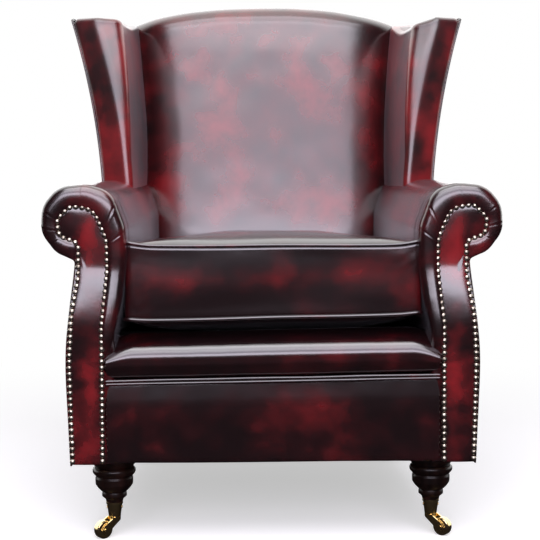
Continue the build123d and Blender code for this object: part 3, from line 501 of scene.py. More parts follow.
def arm_skin(side, start, stop, inset=0.0):
    """Skin of the arm over part of its outline: padded front ring, the run back and the rear roll."""
    pick = slice(start, stop)
    edge, groove = arm_edge[pick], arm_groove[pick]
    places, corner = arm_places[pick], arm_corner[pick]
    width = np.linalg.norm(edge - groove, axis=1)
    tuck = smooth((corner - 11.2) / 0.5) * smooth((0.372 - edge[:, 1]) / 0.030)
    swell = np.clip(0.20 * width, 0.0010, 0.0070) * (1 - tuck)
    roll = np.clip(0.42 * width, 0.0026, 0.0150)
    rows, fade, reach = [], [], []

    def keep_row(flat, depth, weight, back=0.0):
        rows.append(np.stack([flat[:, 0], depth, flat[:, 1]], axis=1))
        fade.append(weight)
        reach.append(back)

    def front_row(share, forward, weight):
        flat = groove + (edge - groove) * share
        keep_row(flat, front_y(flat[:, 1]) - forward + TUCK_DEPTH * tuck * min(1.0, 2 * share), weight)

    crest = 0.40
    for turn in np.linspace(0, math.pi / 2, 7)[:-1]:
        front_row(crest * (1 - math.cos(turn)), swell * math.sin(turn), 0.35 * math.sin(turn))
    for turn in np.linspace(0, math.pi / 2, 15):
        over, fall = math.sin(turn) ** 0.78, 1 - math.cos(turn) ** 0.70
        front_row(crest + (1 - crest) * over, swell - (swell + roll) * fall, 0.35 + 0.65 * over)
    probe = len(rows) + 10, len(places) // 2
    tangent = np.gradient(edge, axis=0)
    outward = unit(np.stack([-tangent[:, 1], tangent[:, 0]], axis=1))
    start_y = front_y(edge[:, 1]) + roll + TUCK_DEPTH * tuck
    end_y = back_y(edge[:, 1], PANEL)
    runs = np.concatenate([np.linspace(0, 0.10, 16)[1:], np.linspace(0.10, 1, 34)[1:]])
    for run in runs:
        y = start_y + (end_y - REAR_ROUND - start_y) * run
        keep_row(edge - outward * inset * smooth(run / 0.03), y, 1.0, y - start_y)
    for turn in np.linspace(0, math.pi / 2, 6)[1:]:
        y = end_y - REAR_ROUND * (1 - math.sin(turn))
        keep_row(edge - outward * (inset + REAR_ROUND * (1 - math.cos(turn))), y, 0.0, y - start_y)
    grid = np.array(rows)
    behind = np.array([np.broadcast_to(r, places.shape) for r in reach])
    weight = np.array(fade)[:, None] * np.ones(len(places))
    relief = np.zeros(weight.shape)
    for at, depth, half_width, length in PLEATS[side]:
        where = np.interp(at, range(len(arm_keys)), arm_keys)
        lean = 0.16 * behind
        groove_shape = np.exp(-(((places - where) - lean) / half_width) ** 2)
        ridge = np.exp(-(((places - where) - lean - 2.2 * half_width) / (1.6 * half_width)) ** 2)
        drop = weight * np.exp(-((behind / length) ** 2)) * (1 - 0.8 * smooth((weight - 0.72) / 0.28))
        relief += drop * depth * (0.35 * ridge - groove_shape)
    inner_roll = smooth((corner - 7.4) / 0.8) * (1 - smooth((corner - 10.2) / 1.0))
    ripple = np.exp(-((behind - 0.012) / 0.010) ** 2) + 0.8 * np.exp(-((behind - 0.036) / 0.012) ** 2)
    ripple += 0.5 * np.exp(-((behind - 0.064) / 0.014) ** 2) - np.exp(-((behind - 0.024) / 0.007) ** 2)
    relief += 0.0009 * inner_roll * ripple * weight
    head = smooth((corner - 2.2) / 0.8) * (1 - smooth((corner - 11.0) / 1.0))
    seed = 3.0 if side == "left" else 0.0
    relief += 0.0010 * head * weight * noise_on(grid, 7.0, seed)
    relief += 0.0002 * weight * noise_on(grid, 26.0, seed)
    normal = normals_of(grid)
    away = grid[probe][[0, 2]] - SCROLL_MIDDLE
    sign = 1.0 if normal[probe][[0, 2]] @ away > 0 else -1.0
    return drawn_in(grid + normal * (sign * relief)[..., None])


def facing_form(seed):
    """The facing: a crowned leather panel inside the nail row."""
    rungs, columns = 150, 17
    tip = (nail_keys[6] + nail_keys[7]) / 2
    spread = np.interp(np.linspace(0, 1, rungs), [0, 0.62, 0.74, 0.88, 1], [0, 2.0, 3.0, 3.6, 4])
    outer = np.interp(spread, range(5), [nail_keys[k] for k in (0, 3, 4, 5)] + [tip - 0.002])
    inner = np.interp(spread, range(5), [nail_keys[k] for k in (12, 10, 9, 8)] + [tip + 0.002])
    share = np.linspace(0, 1, columns)[None, :, None]
    flat = at_lengths(nail_line, outer)[:, None] * (1 - share) + at_lengths(nail_line, inner)[:, None] * share
    for _ in range(160):
        ahead, behind = flat[2:, 1:-1], flat[:-2, 1:-1]
        flat[1:-1, 1:-1] = (ahead + behind + flat[1:-1, 2:] + flat[1:-1, :-2]) / 4
    across = np.abs(np.linspace(-1, 1, columns))[None, :]
    width = np.linalg.norm(flat[:, 0] - flat[:, -1], axis=1)[:, None]
    crown = np.minimum(0.0020, 0.06 * width) * (1 - across ** 2.6)
    top = np.stack([flat[..., 0], front_y(flat[..., 1]) - 0.0006 - crown, flat[..., 1]], axis=2)
    top[..., 1] -= 0.0006 * noise_on(top, 18.0, seed)
    top[..., 1] -= NECK_FORWARD * np.exp(-(((top[..., 2] - NECK_Z) / NECK_REACH) ** 2))
    under = top + np.array((0, FACING_SHEET, 0)) + np.array((0, 1, 0)) * crown[..., None]
    return two_layers(top, under)


def nail_form(seed):
    """Domed nails set close along the edge of the facing, none quite alike."""
    rng = np.random.default_rng(seed)
    length = lengths_along(nail_line)[-1]
    count = round(length / NAIL_PITCH)
    places = at_lengths(nail_line, (np.arange(count) + 0.5) * length / count)
    sides, rings = 14, 6
    forms = []
    for x, z in places:
        size = NAIL_RADIUS * rng.uniform(0.96, 1.03)
        rise = NAIL_HEIGHT * rng.uniform(0.90, 1.05)
        tilt = rng.normal(0, 0.05, 2)
        turn = np.linspace(0, 2 * math.pi, sides, endpoint=False)
        verts = []
        for k in range(rings):
            angle = math.pi / 2 * k / (rings - 0.6)
            ring = size * math.cos(angle)
            verts += [(ring * math.cos(a), -rise * math.sin(angle), ring * math.sin(a)) for a in turn]
        foot = [(size * math.cos(a), 0.0020, size * math.sin(a)) for a in turn]
        verts = np.array(foot + verts + [(0, -rise, 0)])
        verts[:, 1] += tilt[0] * verts[:, 0] + tilt[1] * verts[:, 2]
        faces = grid_faces(rings + 1, sides, wrap=True)
        last = rings * sides
        faces += [(last + j, last + (j + 1) % sides, len(verts) - 1) for j in range(sides)]
        faces.append(tuple(reversed(range(sides))))
        centre = np.array((x, front_y(z) - 0.0012, z))
        forms.append((verts + centre, faces))
    return joined(*forms)


neck_step = int(np.argmin(np.abs(arm_corner - NECK_CORNER)))
for side, mirror in SIDES:
    scroll = arm_skin(side, neck_step - 3, ARM_STEPS)
    piece = make_piece("arm_scroll_" + side, closed_grid(scroll), leather["arm"],
                       nodes=["arm_pad_" + side], mirror=mirror)
    wall = arm_skin(side, 0, neck_step + 4, inset=0.0004)
    piece = make_piece("outside_arm_panel_" + side, shell(wall[:, ::-1], ARM_SHEET), leather["outside"],
                       nodes=["outside_arm_" + side], mirror=mirror)
    make_piece("facing_panel_" + side, facing_form(5.0 if mirror else 1.0), leather["facing"],
               nodes=["arm_facing_" + side], mirror=mirror)
    make_piece("facing_nails_" + side, nail_form(21 if mirror else 12), antique_brass,
               slot="nail_brass", nodes=["nail_trim_" + side], mirror=mirror)


# Wings: plan sections at rising heights, a padded front band and a panel outside
WING_ROOT, WING_LEVELS, WING_TOP = 0.560, (0.622, 0.785, 0.957), 0.957
WING_BAND, WING_SEAM_DEPTH = 0.050, 0.250
# Plan measures at the three levels: the inner front in X and in Y, the seam in X and the rear in X
WING_FRONT_X, WING_FRONT_Y = (0.277, 0.299, 0.344), (-0.045, -0.018, 0.022)
WING_SEAM_X, WING_REAR_X = (0.257, 0.261, 0.277), (0.307, 0.308, 0.311)
WING_FLAT, WING_EDGE, WING_ROLL = 0.017, 0.009, 0.013
WING_SAG = {"left": 0.003, "right": 0.017}
WING_PANEL_LOW, WING_PANEL_HIGH = 0.575, WING_TOP - 0.004
WING_SHEET, WING_WELT = 0.003, 0.0018


def through_levels(z, values):
    """A smooth curve through three values at the wing's levels, straight below the lowest."""
    a, b, c = WING_LEVELS
    z = np.maximum(z, a)
    return (
        values[0] * (z - b) * (z - c) / ((a - b) * (a - c))
        + values[1] * (z - a) * (z - c) / ((b - a) * (b - c))
        + values[2] * (z - a) * (z - b) / ((c - a) * (c - b))
    )


def wing_corners(z):
    """Plan corners of a wing: inner rear, seam, inner bend, inner front, outer front and outer rear."""
    front_x, front = through_levels(z, WING_FRONT_X), through_levels(z, WING_FRONT_Y)
    seam_x, rear_x = through_levels(z, WING_SEAM_X), through_levels(z, WING_REAR_X)
    rear = back_y(z, PANEL)
    wide = np.maximum(0.008, front_x - seam_x - WING_FLAT)
    return [
        (seam_x, rear), (seam_x, front + WING_SEAM_DEPTH), (front_x - wide, front + 0.003 + 0.21 * wide),
        (front_x, front), (front_x + WING_BAND, front + 0.021), (rear_x, rear),
    ]


def wing_dip(share):
    """How far the wing's top edge lies under its front corner, from its front to its rear."""
    return 0.003 * np.sin(math.pi * np.clip(share / 0.6, 0, 1)) - 0.009 * smooth((share - 0.35) / 0.5)


def wing_form(side):
    """The padded wing, with a soft front band, a rolled top and a dip in its top edge."""
    seed = 9.0 if side == "left" else 2.0
    columns = 170
    rows = []
    heights = np.concatenate([np.linspace(0, 1, 46), np.ones(8)])
    turns = np.concatenate([np.zeros(46), np.linspace(0, math.pi / 2, 9)[1:]])
    for height, turn in zip(heights, turns):
        z0 = WING_ROOT + (WING_TOP - WING_ROLL - WING_ROOT) * height
        corners = wing_corners(z0)
        wide = corners[3][0] - corners[2][0] - WING_EDGE
        radii = [0.12, WING_EDGE + 0.28 * wide, 0.008 + 0.65 * wide, WING_EDGE]
        section = fillet(corners, radii, steps=14)
        section = resample(section, columns)
        tangent = np.gradient(section, axis=0)
        outward = unit(np.stack([tangent[:, 1], -tangent[:, 0]], axis=1))
        middle = section.mean(axis=0)
        if ((section - middle) * outward).sum() < 0:
            outward = -outward
        section = section - outward * WING_ROLL * (1 - math.cos(turn))
        share = np.clip((section[:, 1] - corners[3][1]) / (corners[0][1] - corners[3][1]), 0, 1)
        inward = np.clip((corners[3][0] - section[:, 0]) / (corners[3][0] - corners[1][0]), 0, 1)
        dip = wing_dip(share) + WING_SAG[side] * inward ** 0.7 * (1 - smooth((share - 0.35) / 0.5))
        dip = dip * smooth((height - 0.75) / 0.25)
        z = z0 + WING_ROLL * math.sin(turn) - dip
        rows.append(np.stack([section[:, 0], section[:, 1], z], axis=1))
    grid = np.array(rows)
    normal = normals_of(grid)
    if normal[20, 60, 0] > 0:
        normal = -normal
    weight = (np.cos(turns) * smooth(heights / 0.15))[:, None] * np.ones(columns)
    along = np.linspace(0, 1, columns)[None, :]
    inner = smooth((along - 0.10) / 0.15) * (1 - smooth((along - 0.50) / 0.10))
    bulge = 0.0030 * inner * np.sin(math.pi * np.clip(heights, 0.02, 1))[:, None] ** 0.6
    relief = weight * (bulge + 0.0016 * noise_on(grid, 6.0, seed) + 0.0002 * noise_on(grid, 24.0, seed))
    return grid + normal * relief[..., None]


def wing_side(rows, columns, inset, proud):
    """Points over the wing's outer face, from the front edge to the rear."""
    grid = np.zeros((rows, columns, 3))
    for i, height in enumerate(np.linspace(0, 1, rows)):
        z0 = WING_PANEL_LOW + (WING_PANEL_HIGH - WING_PANEL_LOW) * height
        corners = wing_corners(z0)
        front, rear = np.array(corners[4]), np.array(corners[5])
        along = (rear - front) / np.linalg.norm(rear - front)
        outward = np.array((along[1], -along[0]))
        start = front + along * inset
        for j, share in enumerate(np.linspace(0, 1, columns)):
            belly = math.sin(math.pi * share) ** 0.7 * math.sin(math.pi * min(1, height + 0.02)) ** 0.6
            spot = start + (rear - start) * share + outward * (proud * (0.35 + belly))
            dip = wing_dip(share) * smooth((height - 0.75) / 0.25)
            grid[i, j] = (spot[0], spot[1], z0 - dip)
    return grid


for side, mirror in SIDES:
    piece = make_piece("wing_cover_" + side, closed_grid(wing_form(side)), leather["wing"],
                       nodes=["wing_pad_" + side], mirror=mirror)
    panel = wing_side(40, 40, 0.006, 0.0022)
    make_piece("outside_wing_panel_" + side, shell(panel[:, ::-1], WING_SHEET), leather["outside"],
               nodes=["outside_wing_" + side], mirror=mirror)
    edge = wing_side(60, 40, 0.002, 0.0010)
    welt_path = np.concatenate([edge[:, 0], edge[-1, 1:] + np.array((0, 0, 0.0025))])
    make_piece("wing_welt_" + side, tube(resample(welt_path, 150), WING_WELT), leather["welt"], mirror=mirror)


# Inside back: one padded panel with rolled sides and an arched, rolled top
BACK_TOP, BACK_SHOULDER, BACK_HALF = 1.001, 0.957, 0.290
BACK_FACE, BACK_BEND, BACK_FACE_TOP = 0.146, 0.500, 0.257
SIDE_SETBACK, BACK_LOW, BACK_TACK = 0.062, 0.330, 0.935
BACK_SPREAD, BACK_HALVES = 0.268, (0.2635, 0.2675, 0.2830)
BACK_SHEET, BACK_WELT = 0.0030, 0.0026


def arch_z(x):
    """Height of the back's arched top at the distance x from the middle."""
    return BACK_TOP - (BACK_TOP - BACK_SHOULDER) * (abs(x) / BACK_HALF) ** 2.6


def inside_back_form():
    """The inside back over its front, its rolled top and down to the tack line behind."""
    columns, rows = 121, 150
    grid = np.zeros((rows, columns, 3))
    for j, share in enumerate(np.linspace(-1, 1, columns)):
        x_low = share * BACK_SPREAD
        setback = SIDE_SETBACK * (abs(x_low) / BACK_HALF) ** 6
        top = arch_z(x_low)
        corners = [
            (BACK_FACE + setback, BACK_LOW), (BACK_FACE + setback, BACK_BEND), (BACK_FACE_TOP + setback, top),
            (back_y(top, PANEL), top), (back_y(BACK_TACK, PANEL), BACK_TACK),
        ]
        section = resample(fillet(corners, [0.26, 0.046 - setback / 3, 0.034], steps=14), rows)
        half = through_levels(section[:, 1], BACK_HALVES)
        grid[:, j] = np.stack([share * half, section[:, 0], section[:, 1]], axis=1)
    across = np.linspace(-1, 1, columns)[None, :]
    up = smooth((grid[..., 2] - 0.40) / 0.15)
    relief = 0.0035 * (1 - across ** 2) * up * (1 - smooth((grid[..., 2] - 0.90) / 0.08))
    relief += 0.0020 * noise_on(grid, 4.5, 4.0) + 0.0006 * noise_on(grid, 17.0, 4.0)
    normal = normals_of(grid)
    if normal[40, columns // 2, 1] > 0:
        normal = -normal
    return grid + normal * relief[..., None]


inside_back = make_piece("inside_back_cover", closed_grid(inside_back_form()), leather["back"],
                         nodes=["inside_back"])


def outside_back_grid(columns, rows, proud):
    """Points over the outside back, from the bottom rail up to the arched top."""
    grid = np.zeros((rows, columns, 3))
    for j, share in enumerate(np.linspace(-1, 1, columns)):
        top = 0.981 - 0.026 * abs(share) ** 2.2
        for i, height in enumerate(np.linspace(0, 1, rows)):
            z = BASE + (top - BASE) * height
            half = np.interp(z, [BASE, ARM_TOP, 0.956], [0.318, 0.309, 0.306])
            swell = proud * (1 - share ** 4) * math.sin(math.pi * min(1, height + 0.01)) ** 0.5
            grid[i, j] = (share * half, back_y(z) - 0.0008 + swell, z)
    return grid


panel = outside_back_grid(70, 90, 0.0035)
panel[..., 1] += 0.0012 * noise_on(panel, 5.0, 8.0)
make_piece("outside_back_panel", shell(panel, BACK_SHEET), leather["outside"], nodes=["outside_back"])
rim = outside_back_grid(70, 90, 0.0)
rim_path = np.concatenate([rim[:, 0], rim[-1, 1:-1], rim[::-1, -1]])
make_piece("outside_back_welt", tube(resample(rim_path, 420), BACK_WELT, sides=8), leather["welt"])


# Front of the seat: border, two welts and the rolled lip
FRONT_HALF = 0.2925
BORDER_FRONT, WELT_FRONT, WELT_LOW, WELT_RADIUS = -0.4060, -0.4040, 0.2865, 0.0029
LIP_DROP_FROM, LIP_DROP = 0.240, 0.017


def front_lift(x, z):
    """How the front's leather sits a little higher on the right than on the left."""
    return 0.0038 * (x / FRONT_HALF) * smooth((z - 0.17) / 0.11)


def across_front(section, columns, relief, seed):
    """Sweep a section in depth and height across the front, with soft unevenness."""
    rows = len(section)
    grid = np.zeros((rows, columns, 3))
    for j, x in enumerate(np.linspace(-FRONT_HALF, FRONT_HALF, columns)):
        grid[:, j] = np.stack([np.full(rows, x), section[:, 0], section[:, 1]], axis=1)
    normal = normals_of(grid)
    if normal[rows // 3, columns // 2, 1] > 0:
        normal = -normal
    amount = relief * noise_on(grid * (0.45, 1, 1), 9.0, seed) + 0.25 * relief * noise_on(grid, 30.0, seed)
    grid = grid + normal * amount[..., None]
    grid[..., 2] += front_lift(grid[..., 0], grid[..., 2])
    return grid


border_section = resample(fillet([
    (-0.380, BASE + 0.002), (BORDER_FRONT + 0.001, BASE + 0.002), (BORDER_FRONT - 0.0020, 0.245),
    (BORDER_FRONT + 0.0040, WELT_LOW + 0.002), (-0.380, WELT_LOW + 0.002),
], [0.006, 0.22, 0.0015]), 60)
border_grid = across_front(border_section, 130, 0.0009, 6.0)
make_piece("front_border_cover", closed_grid(border_grid), leather["front"], nodes=["front_border"])
lip_section = resample(fillet([
    (-0.378, 0.2985), (-0.4005, 0.2985), (-0.4120, 0.3200),
    (-0.4120, 0.3525), (-0.335, 0.3715), (-0.335, 0.345),
], [0.003, 0.009, 0.028, 0.002]), 80)
lip_grid = across_front(lip_section, 170, 0.0012, 2.0)
lip_end = np.clip((np.abs(lip_grid[..., 0]) - LIP_DROP_FROM) / (FRONT_HALF - LIP_DROP_FROM), 0, 1)
lip_grid[..., 2] -= LIP_DROP * lip_end ** 1.7 * smooth((lip_grid[..., 2] - 0.305) / 0.055)
lip = make_piece("front_lip_cover", closed_grid(lip_grid), leather["front"], nodes=["front_lip"])
welt_forms = []
for index in (0, 1):
    z = WELT_LOW + WELT_RADIUS * (0.6 + 2 * index)
    xs = np.linspace(-FRONT_HALF, FRONT_HALF, 200)
    path = np.stack([xs, np.full(200, WELT_FRONT), np.full(200, z)], axis=1)
    path[:, 1] -= 0.0005 * noise_on(path, 14.0, index)
    path[:, 2] += 0.0006 * noise_on(path, 11.0, index + 5.0) + front_lift(path[:, 0], path[:, 2])
    welt_forms.append(tube(path, WELT_RADIUS, sides=12))
make_piece("front_welts", joined(*welt_forms), leather["welt"], nodes=["front_piping"])


# Seat plane: the cushion's own axes, tilted down to the back
SEAT_TILT = math.radians(2.8)
SEAT_ORIGIN = np.array((0.0, -0.396, 0.3723))
SEAT_ACROSS = np.array((1.0, 0.0, 0.0))
SEAT_DEPTH = np.array((0.0, math.cos(SEAT_TILT), -math.sin(SEAT_TILT)))
SEAT_UP = np.array((0.0, math.sin(SEAT_TILT), math.cos(SEAT_TILT)))
DECK_FRONT, DECK_REAR, DECK_HALF = -0.3395, 0.1450, 0.2775
DECK_SAG, DECK_SHEET = 0.004, 0.006


def on_seat(x, depth, height):
    """A point given across, back along and up from the seat plane."""
    x, depth, height = (part[..., None] for part in np.broadcast_arrays(x, depth, height))
    return SEAT_ORIGIN + x * SEAT_ACROSS + depth * SEAT_DEPTH + height * SEAT_UP


def deck_form():
    """The deck under the cushion, between the arms, the lip and the back."""
    rows, columns = 40, 40
    grid = np.zeros((rows, columns, 3))
    for i, y in enumerate(np.linspace(DECK_FRONT, DECK_REAR, rows)):
        half = DECK_HALF - TOE_IN * (y - HEAD_FRONT)
        for j, share in enumerate(np.linspace(-1, 1, columns)):
            sag = DECK_SAG * (1 - share ** 2) * math.sin(math.pi * i / (rows - 1))
            grid[i, j] = on_seat(share * half, (y - SEAT_ORIGIN[1]) / math.cos(SEAT_TILT), -0.0008 - sag)
    return grid


# The deck takes the near-black lining, which paints the shade under the cushion into its colour.
make_piece("seat_deck", shell(deck_form(), DECK_SHEET), lining_and_painted_shade, nodes=["seat_platform"])


# Cushion: a boxed seat cushion, blown up between its two welted seams
CUSHION_HALF, CUSHION_LENGTH = 0.2635, 0.530
CUSHION_SHIFT = 0.0015
SEAM_LOW, SEAM_HIGH = 0.0265, 0.1505
CUSHION_CROWN, CUSHION_CORNER, DRAW_IN = 0.015, 0.012, 0.002
CUSHION_WELT, CUSHION_INSET = 0.0031, 0.0035
BLOW_CAP, BLOW_FRAMES = 0.010, 20
# Puckers at the cushion's front corners: X, Z and strength
PUCKERS = [
    (0.262, 0.400, 0.0016), (0.262, 0.515, 0.0012), (-0.250, 0.395, 0.0014), (-0.250, 0.515, 0.0005),
]
PANEL_ACROSS, PANEL_BACK, WALL_ROWS = 66, 70, 18


def cushion_plan(a, b, inset):
    """A point of the cushion's plan for a and b from -1 to 1, with round corners."""
    half = (CUSHION_HALF - inset) - TOE_IN * CUSHION_LENGTH * (b + 1) / 2
    length = CUSHION_LENGTH / 2 - inset
    p = np.array((a * half, b * length))
    size = np.array((half, length))
    over = np.maximum(np.abs(p) - (size - CUSHION_CORNER), 0)
    reach = over.max()
    if over.min() > 0:
        over = over / np.linalg.norm(over) * reach
        p = np.sign(p) * (size - CUSHION_CORNER + over)
    p[1] -= math.copysign(DRAW_IN * (1 - a * a) * max(0.0, abs(b) - 0.6) / 0.4, b)
    return p[0] + CUSHION_SHIFT, p[1] + CUSHION_LENGTH / 2


def seam_height(x, depth, top):
    """Height of a seam: its corners turn up a little."""
    corner = min(math.hypot(abs(x - CUSHION_SHIFT) - CUSHION_HALF, depth), 0.2)
    lift = 0.0065 if top else 0.0030
    wave = 0.0004 * math.sin(x * 23 + 1.3) + (0.0 if top else 0.0048 * x / CUSHION_HALF)
    return (SEAM_HIGH if top else SEAM_LOW) + lift * math.exp(-((corner / 0.030) ** 2)) + wave


def cushion_shape(inset):
    """Points, faces and both seam loops of the cushion before it is blown up."""
    index, verts, faces = {}, [], []

    def vert(key, point):
        if key not in index:
            index[key] = len(verts)
            verts.append(point)
        return index[key]

    def top_point(i, j, top):
        a, b = 2 * i / PANEL_ACROSS - 1, 2 * j / PANEL_BACK - 1
        x, depth = cushion_plan(a, b, inset)
        crown = (1 - abs(a) ** 8) * (1 - abs(b) ** (22 if top else 4))
        height = seam_height(x, depth, top)
        if top:
            height += CUSHION_CROWN * crown
        else:
            height -= (SEAM_LOW - 0.001) * crown ** 0.6
        return x, depth, height

    for top in (True, False):
        for i in range(PANEL_ACROSS + 1):
            for j in range(PANEL_BACK + 1):
                vert((top, i, j), top_point(i, j, top))
        for i in range(PANEL_ACROSS):
            for j in range(PANEL_BACK):
                ring = [(top, i, j), (top, i + 1, j), (top, i + 1, j + 1), (top, i, j + 1)]
                faces.append([index[key] for key in (ring if top else ring[::-1])])
    loop = [(i, 0) for i in range(PANEL_ACROSS)] + [(PANEL_ACROSS, j) for j in range(PANEL_BACK)]
    loop += [(i, PANEL_BACK) for i in range(PANEL_ACROSS, 0, -1)] + [(0, j) for j in range(PANEL_BACK, 0, -1)]
    rings = [[index[(False, i, j)] for i, j in loop]]
    for row in range(1, WALL_ROWS):
        ring = []
        for k, (i, j) in enumerate(loop):
            low, high = (np.array(verts[index[(top, i, j)]]) for top in (False, True))
            share = row / WALL_ROWS
            ring.append(vert(("wall", row, k), tuple(low * (1 - share) + high * share)))
        rings.append(ring)
    rings.append([index[(True, i, j)] for i, j in loop])
    count = len(loop)
    for low, high in zip(rings, rings[1:]):
        for k in range(count):
            n = (k + 1) % count
            faces.append([low[k], low[n], high[n], high[k]])
    return np.array(verts), faces, rings[0], rings[-1]


def blow_up(points, faces, pinned, cap):
    """Blow the cover up between its pinned seams with cloth under pressure."""
    world = on_seat(*points.T)
    mesh = bpy.data.meshes.new("cushion_blank")
    mesh.from_pydata(world.tolist(), [], faces)
    blank = new_object("cushion_blank", mesh)
    group = blank.vertex_groups.new(name="seams")
    group.add([int(v) for v in pinned], 1.0, "REPLACE")
    cloth = blank.modifiers.new("Cloth", "CLOTH")
    settings = cloth.settings
    settings.quality = 6
    settings.mass = 0.4
    settings.use_pressure = True
    settings.uniform_pressure_force = 5.0
    settings.tension_stiffness = settings.compression_stiffness = 30.0
    settings.shear_stiffness = 12.0
    settings.bending_stiffness = 1.5
    settings.effector_weights.gravity = 0.0
    settings.vertex_group_mass = "seams"
    cloth.point_cache.frame_start, cloth.point_cache.frame_end = 1, BLOW_FRAMES
    for step in range(1, BLOW_FRAMES + 1):
        bpy.context.scene.frame_set(step)
    graph = bpy.context.evaluated_depsgraph_get()
    blown = blank.evaluated_get(graph).to_mesh()
    moved = np.array([v.co for v in blown.vertices], float)
    blank.evaluated_get(graph).to_mesh_clear()
    bpy.data.objects.remove(blank)
    bpy.context.scene.frame_set(1)
    shift = moved - world
    size = np.linalg.norm(shift, axis=1, keepdims=True)
    height = points[:, 2:3]
    wall = smooth((height - SEAM_LOW) / 0.010) * (1 - smooth((height - SEAM_HIGH + 0.006) / 0.010))
    return world + shift * np.minimum(1.0, cap / np.maximum(size, 1e-9)) * (1 - 0.75 * wall)


cushion_points, cushion_faces, low_seam, high_seam = cushion_shape(CUSHION_INSET)
cushion_world = blow_up(cushion_points, cushion_faces, low_seam + high_seam, BLOW_CAP)


def settle_cushion(world):
    """Rest the underside on the deck and add the soft unevenness of a used cushion."""
    local = world - SEAT_ORIGIN
    height = local @ SEAT_UP
    top = smooth((height - SEAM_HIGH) / 0.01)
    swell = 0.0016 * top * noise_on(world[None], 6.0, 1.0)[0]
    wall = smooth((height - SEAM_LOW - 0.004) / 0.02) * (1 - smooth((height - SEAM_HIGH + 0.02) / 0.02))
    front = wall * (world[:, 1] < -0.37)
    swell_front = 0.0013 * front * noise_on(world[None] * (0.5, 1, 1.4), 11.0, 2.0)[0]
    pucker = 0.0
    for x, z, strength in PUCKERS:
        across, up = world[:, 0] - x, world[:, 2] - z
        ring = np.exp(-((np.hypot(across, up) - 0.016) / 0.020) ** 2)
        pucker = pucker + strength * front * ring * np.cos(np.arctan2(up, across) * 13.0)
    world = world + swell[:, None] * SEAT_UP
    world[:, 1] -= swell_front + pucker
    low = np.minimum((world - SEAT_ORIGIN) @ SEAT_UP - 0.0005, 0.0)
    return world - low[:, None] * SEAT_UP


cushion_world = settle_cushion(cushion_world)
cushion = make_piece("cushion_leather", (cushion_world, cushion_faces), leather["cushion"], body="cushion",
                     nodes=["cushion_cover", "cushion_core"])
welts = []
for seam, lift in ((low_seam, -0.0006), (high_seam, 0.0012)):
    path = cushion_world[seam]
    away = path - path.mean(axis=0)
    away -= (away @ SEAT_UP)[:, None] * SEAT_UP
    welts.append(tube(path + unit(away) * 0.0010 + SEAT_UP * lift, CUSHION_WELT, closed=True))
make_piece("cushion_welts", joined(*welts), leather["welt"], body="cushion", nodes=["cushion_piping"])


# Places where the top coat is rubbed off: X, Z, reach in X, reach in Z and strength.
# Those of the paired pieces count on both sides, and a sixth value is the depth where they begin.
RUBBED_MIDDLE = [
    (-0.115, 0.851, 0.06, 0.045, 0.5), (-0.05, 0.725, 0.07, 0.09, 0.3), (0.07, 0.68, 0.06, 0.12, 0.35),
    (-0.205, 0.64, 0.03, 0.11, 0.95), (0.222, 0.7, 0.034, 0.13, 0.75), (0.15, 0.83, 0.06, 0.05, 0.25),
    (-0.12, 0.6, 0.08, 0.06, 0.3), (0.04, 0.56, 0.1, 0.04, 0.4), (0.0, 0.8, 0.2, 0.18, 0.12),
    (0.13, 0.474, 0.11, 0.022, 0.5), (-0.15, 0.47, 0.07, 0.026, 0.55), (-0.02, 0.466, 0.1, 0.022, 0.5),
    (0.0, 0.455, 0.24, 0.036, 0.5), (0.02, 0.225, 0.12, 0.03, 0.55), (0.165, 0.215, 0.09, 0.03, 0.4),
    (-0.2, 0.215, 0.08, 0.04, 0.35), (0.0, 0.25, 0.25, 0.02, 0.15), (0.04, 0.333, 0.15, 0.01, 0.45),
    (-0.16, 0.33, 0.12, 0.01, 0.35), (0.12, 0.165, 0.09, 0.02, 0.25),
]
RUBBED_SIDES = [
    (0.372, 0.88, 0.018, 0.05, 0.85), (0.345, 0.77, 0.02, 0.05, 0.65), (0.325, 0.69, 0.018, 0.045, 0.85),
    (0.284, 0.88, 0.016, 0.06, 1.2), (0.272, 0.74, 0.016, 0.11, 0.65), (0.318, 0.535, 0.016, 0.05, 0.95),
    (0.315, 0.3, 0.014, 0.1, 0.8), (0.32, 0.18, 0.016, 0.05, 0.45), (0.262, 0.59, 0.05, 0.06, 1.1, -0.34),
    (0.33, 0.63, 0.05, 0.02, 0.55, -0.33),
]


def rub(piece, spots, both):
    """Mark how far the top coat is rubbed off at each point of a leather piece."""
    points = np.array([v.co for v in piece.data.vertices], float)
    x = np.abs(points[:, 0]) if both else points[:, 0]
    worn = np.zeros(len(points))
    for at_x, at_z, reach_x, reach_z, strength, *depth in spots:
        spot = strength * np.exp(-(((x - at_x) / reach_x) ** 2) - ((points[:, 2] - at_z) / reach_z) ** 2)
        for begin in depth:
            spot *= smooth((points[:, 1] - begin) / 0.08)
        worn += spot
    attribute = piece.data.attributes.new("rubbed", "FLOAT", "POINT")
    attribute.data.foreach_set("value", np.minimum(worn, 1.2).astype(np.float32))


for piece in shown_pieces():
    if piece.get("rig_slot") == "leather_oxblood":
        paired = piece.name.endswith(("_left", "_right"))
        rub(piece, RUBBED_SIDES if paired else RUBBED_MIDDLE, paired)


# Camera, fitted to the photograph's square frame: its place, and its pitch, roll and turn in degrees
LENS_PIXELS, IMAGE_SIZE = 1390.0, 540.0
CAMERA_PLACE, CAMERA_TURNS = (-0.056, -2.795, 0.680), (90 - 4.72, 0.22, -1.236)
camera_data = bpy.data.cameras.new("camera")
camera_data.sensor_width = 36.0
camera_data.lens = LENS_PIXELS / IMAGE_SIZE * camera_data.sensor_width
camera = new_object("camera", camera_data)
camera.location = CAMERA_PLACE
camera.rotation_euler = [math.radians(turn) for turn in CAMERA_TURNS]
bpy.context.scene.camera = camera


